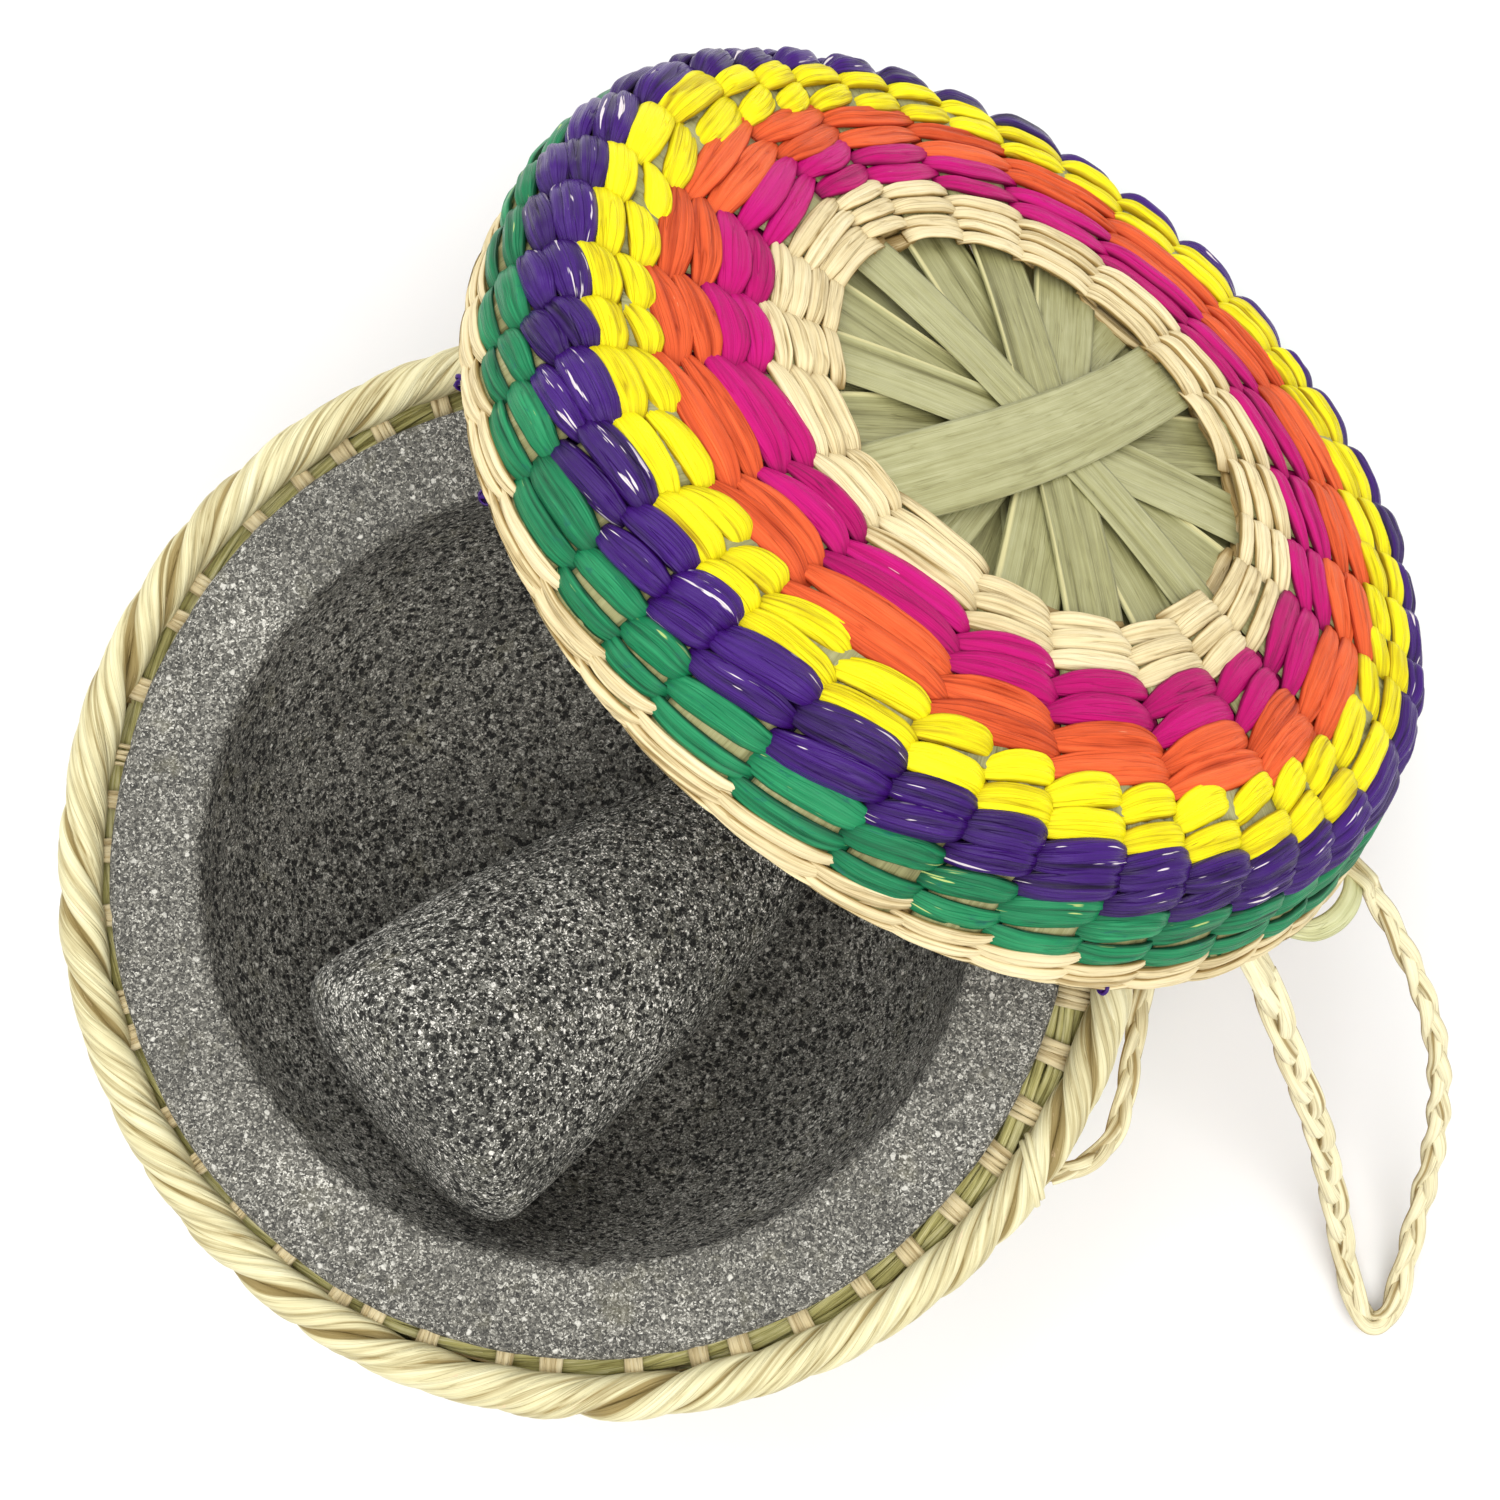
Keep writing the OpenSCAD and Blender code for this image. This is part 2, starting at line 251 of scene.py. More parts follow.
def stone(name, dark, mid, light, grain, depth, contrast):
    """Volcanic stone: black, grey and pale grains with small open pits.

    The part attribute's x is how roughly a point is worked, from 0, sanded, to 1, chiselled. The pits are
    painted near black as shade in them, the pale flecks are partly painted glints, and chiselled stone is
    painted brighter than sanded stone as painted light."""
    p = Paint(name)
    here = p.place()
    worked = p.split(p.attribute("part"))[0]
    warp = p.vector("ADD", here, p.noise(here, 1.1, 1, 0.5, output=1))
    crystal = p.split(p.cells(warp, 1 / grain).outputs["Color"])[0]
    salt = p.noise(here, 1.3 / grain, 2, 0.7)
    cloud = p.noise(here, 0.03, 3, 0.6)
    mixed = p.plus(p.times(crystal, 0.42), p.times(salt, 0.58))
    mixed = p.plus(mixed, p.swing(cloud, 0.22))
    mixed = p.plus(p.swing(mixed, contrast), 0.5)
    dusk, dawn = (tuple(share * c for c in mid) for share in (0.55, 1.9))
    colour = p.ramp(mixed, [(0.24, dark), (0.40, dusk), (0.56, mid), (0.68, dawn), (0.80, light)])
    warm = p.range(p.noise(here, 0.09, 3, 0.7), 0.58, 0.74)
    colour = p.mix(p.times(warm, 0.3), colour, (mid[0] * 1.25, mid[1] * 1.2, mid[2] * 0.85))
    # Pale flecks: pale grains, partly painted glints.
    fleck = p.cells(warp, 0.45)
    chosen = p.range(p.split(fleck.outputs["Color"])[0], 0.80, 0.86)
    pale = p.times(p.range(fleck.outputs["Distance"], 0.30, 0.20), chosen)
    colour = p.mix(p.times(pale, 0.75), colour, light)
    drift = p.vector("MULTIPLY", p.noise(here, 1.0, 3, 0.5, output=1), (2.2, 2.2, 2.2))
    ragged = p.vector("ADD", here, drift)
    seat = p.range(p.noise(here, 0.35, 2, 0.6), 0.40, 0.52)
    small = p.range(p.cells(ragged, 1 / PIT_SPACING).outputs["Distance"], 0.44, 0.35)
    large = p.range(p.cells(ragged, 0.45 / PIT_SPACING).outputs["Distance"], 0.26, 0.19)
    hole = p.times(p.math("MAXIMUM", p.times(small, seat), large), worked)
    # The pits are painted near black: painted shade in the holes, which the bump also sinks.
    colour = p.mix(p.times(hole, 0.93), colour, tuple(c * 0.3 for c in dark))
    # Chiselled stone is painted brighter than the sanded lip: painted light that lifts the shaded bowl and
    # the pestle.
    shade = p.range(worked, 0.0, 1.0, 1.04, 1.17)
    grey = p.node("CombineXYZ", {0: shade, 1: shade, 2: shade}).outputs[0]
    colour = p.mix(1.0, colour, grey, "MULTIPLY")
    lumps = p.noise(here, 0.7, 3, 0.65)
    height = p.plus(p.times(mixed, 0.5), p.times(p.times(lumps, worked), 1.1))
    height = p.minus(height, p.times(hole, 1.3))
    return p.finish(colour, p.range(salt, 0.3, 0.7, 0.92, 0.72), p.bump(height, 0.75, depth), 0.3)


# Each leaf's dark, middle and light colour, and the rest of its look
PALMS = {
    "palm_cream": ((0.32, 0.21, 0.07), (0.76, 0.63, 0.36), (0.90, 0.80, 0.53), dict(contrast=0.85)),
    "palm_pale": ((0.36, 0.26, 0.10), (0.86, 0.79, 0.51), (0.95, 0.91, 0.68), dict(contrast=0.8)),
    "palm_rope": ((0.32, 0.24, 0.09), (0.71, 0.645, 0.375), (0.90, 0.86, 0.60),
                  dict(rough=0.45, stain=(0.78, 0.56, 0.36), stain_share=0.64, contrast=0.8)),
    "leaf_green": ((0.13, 0.12, 0.04), (0.325, 0.312, 0.138), (0.50, 0.49, 0.27),
                   dict(rough=0.42, spec=0.35, contrast=0.8, bump=0.3)),
    "leaf_straw": ((0.16, 0.13, 0.03), (0.50, 0.46, 0.16), (0.80, 0.75, 0.42), dict(contrast=1.5)),
    "leaf_pale": ((0.38, 0.36, 0.14), (0.70, 0.70, 0.38), (0.84, 0.84, 0.56), {}),
    "dyed_magenta": ((0.18, 0.002, 0.050), (0.47, 0.002, 0.135), (0.60, 0.006, 0.23),
                     dict(rough=0.40, worn_and_glint=(0.70, 0.30, 0.38), worn_and_glint_share=0.72, spec=0.15, contrast=0.5)),
    "dyed_orange": ((0.36, 0.035, 0.008), (0.72, 0.105, 0.028), (0.86, 0.17, 0.05),
                    dict(rough=0.45, worn_and_glint=(0.85, 0.45, 0.25), worn_and_glint_share=0.73, spec=0.15, contrast=0.75)),
    "dyed_yellow": ((0.40, 0.26, 0.003), (0.84, 0.74, 0.006), (0.94, 0.88, 0.02),
                    dict(rough=0.42, worn_and_glint=(0.40, 0.28, 0.01), worn_and_glint_share=0.70, spec=0.15, contrast=0.75)),
    # The purple's whitish streak colour is a painted glint.
    "dyed_purple": ((0.008, 0.001, 0.024), (0.036, 0.003, 0.130), (0.062, 0.008, 0.21),
                    dict(rough=0.27, worn_and_glint=(0.74, 0.66, 0.68), worn_and_glint_share=0.60, spec=0.28, bump=0.6,
                         contrast=0.7)),
    "dyed_green": ((0.003, 0.050, 0.022), (0.006, 0.190, 0.072), (0.03, 0.36, 0.14),
                   dict(rough=0.36, worn_and_glint=(0.50, 0.62, 0.20), worn_and_glint_share=0.63, stain=(0.004, 0.10, 0.09),
                        stain_share=0.60, spec=0.25, contrast=0.75)),
}
STONES = {
    "mortar_stone": ((0.040, 0.039, 0.036), (0.170, 0.164, 0.142), (0.72, 0.70, 0.63),
                     dict(grain=0.42, depth=0.0011, contrast=1.12)),
    "pestle_stone": ((0.014, 0.014, 0.012), (0.135, 0.132, 0.114), (0.92, 0.89, 0.81),
                     dict(grain=0.44, depth=0.0014, contrast=1.26)),
}
paints = {name: palm(name, *colours, **look) for name, (*colours, look) in PALMS.items()}
paints.update({name: stone(name, *colours, **look) for name, (*colours, look) in STONES.items()})


FLOOR_REACH = 3
floor_look = Paint("floor")
here = floor_look.place()
floor_colour = floor_look.ramp(floor_look.noise(here, 0.01, 3, 0.5),
                               [(0.3, (0.86, 0.86, 0.855)), (0.7, (0.90, 0.90, 0.895))])
floor_rough = floor_look.range(floor_look.noise(here, 0.5, 2, 0.5), 0.3, 0.7, 0.72, 0.8)
floor_mesh = bpy.data.meshes.new("floor")
corners = [(x * FLOOR_REACH, y * FLOOR_REACH, 0) for x, y in ((-1, -1), (1, -1), (1, 1), (-1, 1))]
floor_mesh.from_pydata(corners, [], [(0, 1, 2, 3)])
floor_mesh.materials.append(floor_look.finish(floor_colour, floor_rough))
floor = bpy.data.objects.new("floor", floor_mesh)
bpy.context.collection.objects.link(floor)

# ---------------- mesh building


class Patch:
    """Collects closed strips and tubes into one mesh."""

    def __init__(self):
        self.points = []
        self.quads = []
        self.caps = []
        self.fibre = []
        self.part = []
        self.count = 0

    def tube(self, points, fibre, part, ring=False):
        """points is (rings, sides, 3), with its two attributes. With ring, the last ring joins the first."""
        m, k = points.shape[:2]
        i = np.arange(m if ring else m - 1)[:, None]
        j = np.arange(k)[None, :]
        a, b = i * k + j, i * k + (j + 1) % k
        c, d = (i + 1) % m * k + (j + 1) % k, (i + 1) % m * k + j
        quads = np.stack([a, b, c, d], -1).reshape(-1, 4)
        flat = points.reshape(-1, 3)
        mid = flat.mean(0)
        q = flat[quads] - mid
        inward = np.einsum("ij,ij->i", q[:, 0], np.cross(q[:, 1] - q[:, 0], q[:, 2] - q[:, 0])).sum() < 0
        if inward:
            quads = quads[:, ::-1]
        self.quads.append(quads + self.count)
        if not ring:
            first, last = np.arange(k), (m - 1) * k + np.arange(k)
            first, last = (first, last[::-1]) if inward else (first[::-1], last)
            self.caps += [first + self.count, last + self.count]
        self.points.append(flat)
        self.fibre.append(fibre.reshape(-1, 3))
        self.part.append(part.reshape(-1, 3))
        self.count += len(flat)

    def object(self, name, body, paint, *nodes):
        mesh = bpy.data.meshes.new(name)
        points = np.concatenate(self.points)
        quads = np.concatenate(self.quads)
        loops = np.concatenate([quads.ravel()] + self.caps).astype(np.int32)
        sizes = np.concatenate([np.full(len(quads), 4), [len(c) for c in self.caps]]).astype(np.int32)
        starts = np.concatenate([[0], np.cumsum(sizes)[:-1]]).astype(np.int32)
        mesh.vertices.add(len(points))
        mesh.vertices.foreach_set("co", (points * 0.001).astype(np.float32).ravel())
        mesh.loops.add(len(loops))
        mesh.loops.foreach_set("vertex_index", loops)
        mesh.polygons.add(len(sizes))
        mesh.polygons.foreach_set("loop_start", starts)
        mesh.polygons.foreach_set("use_smooth", np.ones(len(sizes), bool))
        for key, data in (("fibre", self.fibre), ("part", self.part)):
            made = mesh.attributes.new(key, "FLOAT_VECTOR", "POINT")
            made.data.foreach_set("vector", np.concatenate(data).astype(np.float32).ravel())
        mesh.update(calc_edges=True)
        mesh.validate()
        mesh.materials.append(paints[paint])
        made = bpy.data.objects.new(name, mesh)
        bpy.context.collection.objects.link(made)
        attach(made, body)
        if nodes:
            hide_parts(*nodes)
        return made


def unit(vectors):
    return vectors / np.linalg.norm(vectors, axis=-1, keepdims=True)


def smooth_line(points, step=0.5, blur=2.0):
    """A fine line through 2-D points, with its corners rounded: arc length, points and directions."""
    points = np.array(points, float)
    s = np.concatenate([[0], np.cumsum(np.linalg.norm(np.diff(points, axis=0), axis=1))])
    t = np.linspace(0, s[-1], int(s[-1] / step) + 1)
    line = np.stack([np.interp(t, s, points[:, k]) for k in (0, 1)], 1)
    reach = int(3 * blur / step)
    w = np.exp(-0.5 * (np.arange(-reach, reach + 1) * step / blur) ** 2)
    w /= w.sum()
    ends = np.concatenate([2 * line[0] - line[reach:0:-1], line, 2 * line[-1] - line[-2:-reach - 2:-1]])
    line = np.stack([np.convolve(ends[:, k], w, "valid") for k in (0, 1)], 1)
    return t, line, unit(np.gradient(line, axis=0))


class Shell:
    """A surface turned round an axis. Points are given by angle, arc length along its outline, and height.

    outward is 1 or -1, the side that heights go to. table is the height below which it is pressed flat, and
    bulge how far one part of it swells out."""

    BULGE_ANGLE = math.radians(102)
    BULGE_WIDTH = 0.60
    BULGE_REACH = ((50, 66, 82, 93), (0, 1, 1, 0))
    PRESSED = 0.12

    def __init__(self, centre, x, y, n, outline, outward=1, table=None, bulge=0.0):
        self.centre, self.x, self.y, self.n = (np.array(v, float) for v in (centre, x, y, n))
        self.s, self.line, d = smooth_line(outline)
        self.normal = outward * np.stack([-d[:, 1], d[:, 0]], 1)
        self.table = table
        self.bulge = bulge

    def radius(self, s):
        return np.interp(s, self.s, self.line[:, 0])

    def at(self, angle, s, h):
        r, z = (np.interp(s, self.s, self.line[:, k]) for k in (0, 1))
        nr, nz = (np.interp(s, self.s, self.normal[:, k]) for k in (0, 1))
        if self.bulge:
            turn = (angle - self.BULGE_ANGLE + np.pi) % TURN - np.pi
            h = h + self.bulge * np.exp(-((turn / self.BULGE_WIDTH) ** 2)) * np.interp(s, *self.BULGE_REACH)
        r, z = r + h * nr, z + h * nz
        c, w = np.cos(angle), np.sin(angle)
        p = self.centre + (r * c)[..., None] * self.x + (r * w)[..., None] * self.y + z[..., None] * self.n
        if self.table is not None:
            p[..., 2] = np.maximum(p[..., 2], self.table + self.PRESSED * (p[..., 2] - self.table))
        return p


def folds(a, b, count, depth):
    """Lengthwise creases in a strip, as depths. a is along it, 0 to 1, and b across it, -1 to 1."""
    out = np.zeros(np.broadcast(a, b).shape)
    for _ in range(count):
        at, lean, bend = rng.uniform(-0.85, 0.85), rng.normal(0, 0.25), rng.normal(0, 0.3)
        wide, deep = rng.uniform(0.05, 0.13), depth * rng.uniform(0.3, 1.0)
        mid, reach = rng.uniform(0, 1), rng.uniform(0.25, 0.8)
        line = at + lean * (a - 0.5) + bend * (a - 0.5) ** 2
        out += deep * np.exp(-(((b - line) / wide) ** 2)) * np.clip(1.3 - np.abs(a - mid) / reach, 0, 1)
    return out


def grain_at(run, across, tone, shift):
    """The fibre attribute: mm along the leaf, mm across it, and the strip's tone. shift sets strips apart."""
    return np.stack([run + shift, across + shift * 0.37, 0 * run + tone], -1)


def with_back(front, back, count=3):
    """Values across a strip's front, with count more across its underside."""
    return np.concatenate([front, np.broadcast_to(back, (len(front), count))], 1)


# How wide a stitch is along its length, as (places, shares of its width)
SHAPES = {
    "leaf": ((0, 0.12, 0.30, 0.52, 0.74, 0.90, 1), (0.12, 0.48, 0.86, 1.0, 0.93, 0.68, 0.36)),
    "blunt": ((0, 0.10, 0.28, 0.5, 0.75, 0.91, 1), (0.36, 0.70, 0.94, 1.0, 0.92, 0.68, 0.40)),
    "plump": ((0, 0.08, 0.26, 0.5, 0.78, 0.92, 1), (0.46, 0.76, 0.97, 1.0, 0.95, 0.76, 0.48)),
    "strap": ((0, 0.1, 0.5, 0.9, 1), (0.86, 0.96, 1.0, 0.94, 0.82)),
}
WALL = 4.6  # from a wall's outer face to its inner face, in mm


def stitch(patch, shell, a0, a1, s, half, tilt=3.0, bow=0.8, rise=2.4, shape="leaf", base=-1.3, dive=1.5,
           creases=8, deep=0.4, rings=22, across=19, side=1, shingle=0.45):
    """One leaf strip that comes up between two spokes, bulges over one and goes down again.

    It runs from angle a0 to a1 round the shell, at arc length s. half is its half width, tilt how far it
    slants, rise how high it bulges, and dive how deep its ends go in. side is -1 on the wall's inner face."""
    t = np.linspace(0, 1, rings)
    t = 0.45 * t + 0.55 * (0.5 - 0.5 * np.cos(np.pi * t))
    v = np.sin(np.linspace(-1, 1, across) * 1.25) / math.sin(1.25)
    a, b = np.meshgrid(t, v, indexing="ij")
    wide = half * np.interp(t, *SHAPES[shape])[:, None]
    peak = rng.uniform(0.42, 0.60)
    arch = np.where(t < peak, 1 - ((peak - t) / peak) ** 2, 1 - ((t - peak) / (1 - peak)) ** 2)
    mid = (s + tilt * (0.5 - t) - bow * arch)[:, None]
    up = 1 - np.clip(1 - t / 0.48, 0, 1) ** 2.0
    down = 1 - 0.94 * np.clip((t - 0.66) / 0.34, 0, 1) ** 2.6
    lift = (up * down)[:, None]
    crown = np.clip(1 - np.abs(b) ** 3.4, 0, 1) ** 0.5
    crease = folds(a, b, creases, deep) * (0.35 + 0.65 * crown) * (0.3 + 0.7 * lift)
    wave = 0.08 * rise * np.sin(2.6 * b * np.pi + rng.uniform(0, 6)) * crown
    body = 0.80 * lift ** 0.8 * (0.45 + 0.55 * crown) + 0.20 * lift * crown * (1 - b ** 2)
    twist = rng.normal(0, 0.25) * b * (t[:, None] - 0.5) * 2
    bottom = base - dive + lift * dive
    top = bottom + rise * body - crease + wave * lift + (twist - shingle * b) * lift
    back = np.array([0.62, 0.0, -0.62])
    height = with_back(top, bottom - 0.35)
    full_a = with_back(a, t[:, None])
    full_b = with_back(b, back)
    points = shell.at(a0 + (a1 - a0) * full_a, mid + full_b * wide, height if side > 0 else -height - WALL)
    tone, shift = rng.uniform(0, 1), rng.uniform(0, SHIFT_SPAN)
    # Painted shade: darker in the creases, where the stitch dives in between spokes, along its edges and on
    # its underside.
    rim = np.clip((np.abs(full_b) - 0.80) / 0.20, 0, 1) ** 1.5
    fold_shade_and_rib = with_back(0.55 * crease / deep, 0.8)
    fold_shade_and_rib = np.clip(fold_shade_and_rib + 0.9 * np.clip(1 - lift, 0, 1) ** 2 + 1.25 * rim, 0, 1.8)
    length = abs(a1 - a0) * shell.radius(s)
    patch.tube(points, grain_at(full_a * length, full_b * half, tone, shift),
               np.stack([np.abs(full_b), full_a, fold_shade_and_rib], -1))


def spoke(patch, shell, angle, s0, s1, share, base=-1.5, rise=0.7, rings=26, across=9, side=1):
    """One flat palm strip that runs outwards under the stitches, from arc length s0 to s1."""
    s = np.linspace(s0, s1, rings)
    v = np.linspace(-1, 1, across)
    b = np.meshgrid(s, v, indexing="ij")[1]
    half = shell.radius(s)[:, None] * share
    ridge = 0.16 * np.sin(b * 9 + rng.uniform(0, 6)) + 0.10 * np.sin(b * 17 + rng.uniform(0, 6))
    height = with_back(base + rise * (1 - b ** 2) + ridge * (1 - b ** 4), base - 0.45)
    full_b = with_back(b, np.array([0.6, 0.0, -0.6]))
    at = s[:, None] + 0 * full_b
    points = shell.at(angle + full_b * half / shell.radius(at), at, height if side > 0 else -height - WALL)
    tone, shift = rng.uniform(0, 1), rng.uniform(0, SHIFT_SPAN)
    # Painted shade: the whole spoke a little darker, as it lies under the stitches.
    fold_shade_and_rib = np.clip(0.25 - ridge.mean(), 0, 1) + 0 * full_b
    patch.tube(points, grain_at(at, full_b * np.mean(half), tone, shift),
               np.stack([np.abs(full_b), (at - s0) / (s1 - s0), fold_shade_and_rib], -1))


def gaps(count, loose):
    """Angles between neighbouring spokes, a little uneven."""
    return (np.arange(count) + rng.uniform(-loose, loose, count)) * (TURN / count)


def spaces(edges):
    """The first and last angle of each space between neighbouring edges."""
    return np.stack([edges, np.append(edges[1:], edges[0] + TURN)], 1)


def halved(edges):
    """Each space between two angles cut in two."""
    first, last = spaces(edges).T
    cut = first + (last - first) * rng.uniform(0.42, 0.58, len(edges))
    return np.stack([edges, cut], 1).ravel()


def row(patch, shell, edges, s, half, chance=1.0, over=0.10, tilt=3.0, rise=2.4, **look):
    """One row of stitches, one for each space between edges. over is how far their ends overlap."""
    for a0, a1 in spaces(edges):
        if rng.uniform() > chance:
            continue
        extra = (a1 - a0) * over
        own_tilt = tilt * rng.uniform(0.75, 1.25)
        own_rise = rise * rng.uniform(0.85, 1.15)
        stitch(patch, shell, a0 - extra * rng.uniform(1.6, 2.4), a1 + extra * rng.uniform(0.7, 1.3),
               s + rng.normal(0, 0.25), half * rng.uniform(0.88, 1.12), own_tilt, rise=own_rise, **look)


def route_line(points, parts=14):
    """A smooth line through route points."""
    p = np.array(points, float)
    p = np.concatenate([p[:1], p, p[-1:]])
    out = []
    for a, b, c, d in zip(p, p[1:], p[2:], p[3:]):
        for t in np.linspace(0, 1, parts, endpoint=False):
            square, cube = 2 * a - 5 * b + 4 * c - d, 3 * b - a - 3 * c + d
            out.append(0.5 * (2 * b + (c - a) * t + square * t * t + cube * t ** 3))
    return np.array(out + [p[-1]])


def frames_of(line, start):
    """Two side directions along a line, with as little turning as can be."""
    t = unit(np.gradient(line, axis=0))
    u = np.zeros_like(t)
    now = np.array(start, float)
    for i in range(len(t)):
        now = unit(now - t[i] * (now @ t[i]))
        u[i] = now
    return u, np.cross(t, u)


def strand(patch, line, u, v, wide, thick, sides, creases, deep=0.12, ring=False, ply=0, narrow=0.26,
           valley_shade=0.0, under=0.0):
    """A creased bundle of leaf swept along a line. u and v are its side directions, and wide and thick its
    half sizes along them. ply is its own twist in turns. valley is painted shade on the side away from u, and
    under painted shade on the side at v."""
    m = len(line)
    phi = np.linspace(0, TURN, sides, endpoint=False)[None, :]
    run = np.linspace(0, 1, m)[:, None]
    total = np.linalg.norm(np.diff(line, axis=0), axis=1).sum()
    waves = max(1, round(total / 40))
    crease = np.zeros((m, sides))
    for _ in range(creases):
        at = rng.uniform(0, TURN)
        wave = rng.normal(0, 0.25) * np.sin(run * TURN * waves + rng.uniform(0, 6))
        gap = (phi - at - ply * TURN * run - wave + np.pi) % TURN - np.pi
        crease += rng.uniform(0.4, 1.0) * np.exp(-((gap / narrow) ** 2))
    crease = np.clip(crease, 0, 1.4)
    scale = 1 - deep * crease
    wide, thick = (np.broadcast_to(np.asarray(x, float).reshape(-1, 1), (m, 1)) for x in (wide, thick))
    points = (line[:, None, :] + (wide * scale * np.cos(phi))[..., None] * u[:, None, :]
              + (thick * scale * np.sin(phi))[..., None] * v[:, None, :])
    shift = rng.uniform(0, SHIFT_SPAN)
    tone = rng.uniform(0, 1)
    around = (phi - ply * TURN * run) * np.mean(wide)
    # Painted shade in the creases, on the side away from u by valley, and on the side at v by under.
    fold_shade_and_rib = (0.7 * crease + valley_shade * np.clip((0.10 - np.cos(phi)) / 0.35, 0, 1)
            + under * np.clip((np.sin(phi) + 0.42) / 0.3, 0, 1))
    patch.tube(points, grain_at(run * total + 0 * phi, around, tone, shift),
               np.stack([0.2 + 0 * around, run + 0 * phi, fold_shade_and_rib], -1), ring)


def braid(patch, line, u, v, width, period, taper):
    """Three strands plaited along a line. period is the plait's length at its start and its end, and taper is
    (places, sizes) along it. Gives each strand's two ends: a last point, one further in, and a half width."""
    total = np.concatenate([[0], np.cumsum(np.linalg.norm(np.diff(line, axis=0), axis=1))])
    size = np.interp(total / total[-1], *taper)
    turns = np.concatenate([[0], np.cumsum(np.diff(total) / np.interp(total[1:], (0, total[-1]), period))])
    ends = []
    for k in range(3):
        phase = TURN * (turns + k / 3)
        across, lift = 0.26 * width * np.sin(phase), 0.24 * width * np.sin(2 * phase)
        path = line + (across * size)[:, None] * u + (lift * size)[:, None] * v
        t = unit(np.gradient(path, axis=0))
        side = unit(u - t * (u * t).sum(1)[:, None])
        half = 0.295 * width * size * (1 + 0.12 * np.cos(2 * phase))
        # under puts painted shade on each strand's lower side.
        strand(patch, path, side, np.cross(t, side), half, 0.74 * half, sides=18, creases=5, under=0.9)
        ends.append(((path[0], path[3], half[0]), (path[-1], path[-4], half[-1])))
    return ends


def hoop(patch, centre, x, y, rx, ry, along, half, thick=0.35, turns=72, across=9, creases=4):
    """A flat leaf strip wrapped once round something, on an oval in the plane of x and y. half is its half
    width, which lies along the direction along."""
    phi = np.linspace(0, TURN, turns, endpoint=False)
    c, w = np.cos(phi), np.sin(phi)
    a, b = np.meshgrid(phi / TURN, np.linspace(-1, 1, across), indexing="ij")
    crease = np.zeros_like(a)
    for _ in range(creases):
        crease += rng.uniform(0.4, 1) * np.exp(-(((b - rng.uniform(-0.8, 0.8)) / 0.13) ** 2))
    full = with_back(thick * (1 + 0.9 * (1 - b ** 2)) - 0.3 * thick * crease, -0.2 * thick)
    full_b = with_back(b, np.array([0.7, 0.0, -0.7]))
    drift = 0.25 * half * np.sin(phi + rng.uniform(0, 6))[:, None]
    points = (np.array(centre) + ((rx + full) * c[:, None])[..., None] * np.array(x)
              + ((ry + full) * w[:, None])[..., None] * np.array(y)
              + (full_b * half + drift)[..., None] * np.array(along))
    shift, tone = rng.uniform(0, SHIFT_SPAN), rng.uniform(0, 1)
    run = with_back(a, a[:, :1])
    # Painted shade in its creases and on its underside.
    fold_shade_and_rib = 0.6 * with_back(np.clip(crease, 0, 1), 0.6)
    patch.tube(points, grain_at(run * np.pi * (rx + ry), full_b * half, tone, shift),
               np.stack([np.abs(full_b), run, fold_shade_and_rib], -1), ring=True)


# ---------------- cords

STRAP_ROUTE = [
    (139, -23, 99), (144, -33, 89), (150, -44, 74), (157, -56, 56), (163, -68, 37), (168, -80, 21),
    (172, -92, 9), (175, -103, 5), (179, -111, 4), (184, -109, 4), (187, -98, 7), (189, -84, 13),
    (190, -70, 24), (189, -56, 37), (186, -42, 50), (181, -29, 60), (174, -16, 68), (166, -3.5, 73.5)]
LOOP_ROUTE = [
    (94, -64, 101), (101, -62, 100), (107, -57, 98), (110, -49, 97), (112, -38, 96), (114, -27, 96),
    (116, -14, 95), (117, 0, 95), (116, 12, 96), (113, 22, 98), (109, 29, 101)]


def plaited_cord(name, route, width, period, body, node, taper, plait=1.0):
    """A declared cord, drawn as a braid that lies flat. plait is its drawn width as a share of width."""
    line = route_line(route)
    t = np.gradient(line, axis=0)
    u = unit(np.cross(t, (0, 0, 1)))
    patch = Patch()
    ends = braid(patch, line, u, np.cross(unit(t), u), width * plait, period, taper)
    made = patch.object(name, body, "palm_pale", node)
    return ends


strap_ends = plaited_cord("strap_braid", STRAP_ROUTE, 6.4, (58, 34), "strap", "lid_strap",
                          ((0, 0.35, 0.6, 1), (1.08, 1.0, 0.88, 0.80)))
plaited_cord("loop_braid", LOOP_ROUTE, 5.4, (30, 30), "basket", "basket_loop",
             ((0, 0.2, 1), (0.9, 1.0, 0.95)), plait=0.84)

# ---------------- lid

DYES = ("magenta", "orange", "yellow", "purple", "green")


def dyed_bands(body, dyes):
    """Each dyed band's piece name, paint and CAD node."""
    return {dye: (f"{body}_{dye}_stitches", f"dyed_{dye}", f"{body}_weft_{dye}") for dye in dyes}


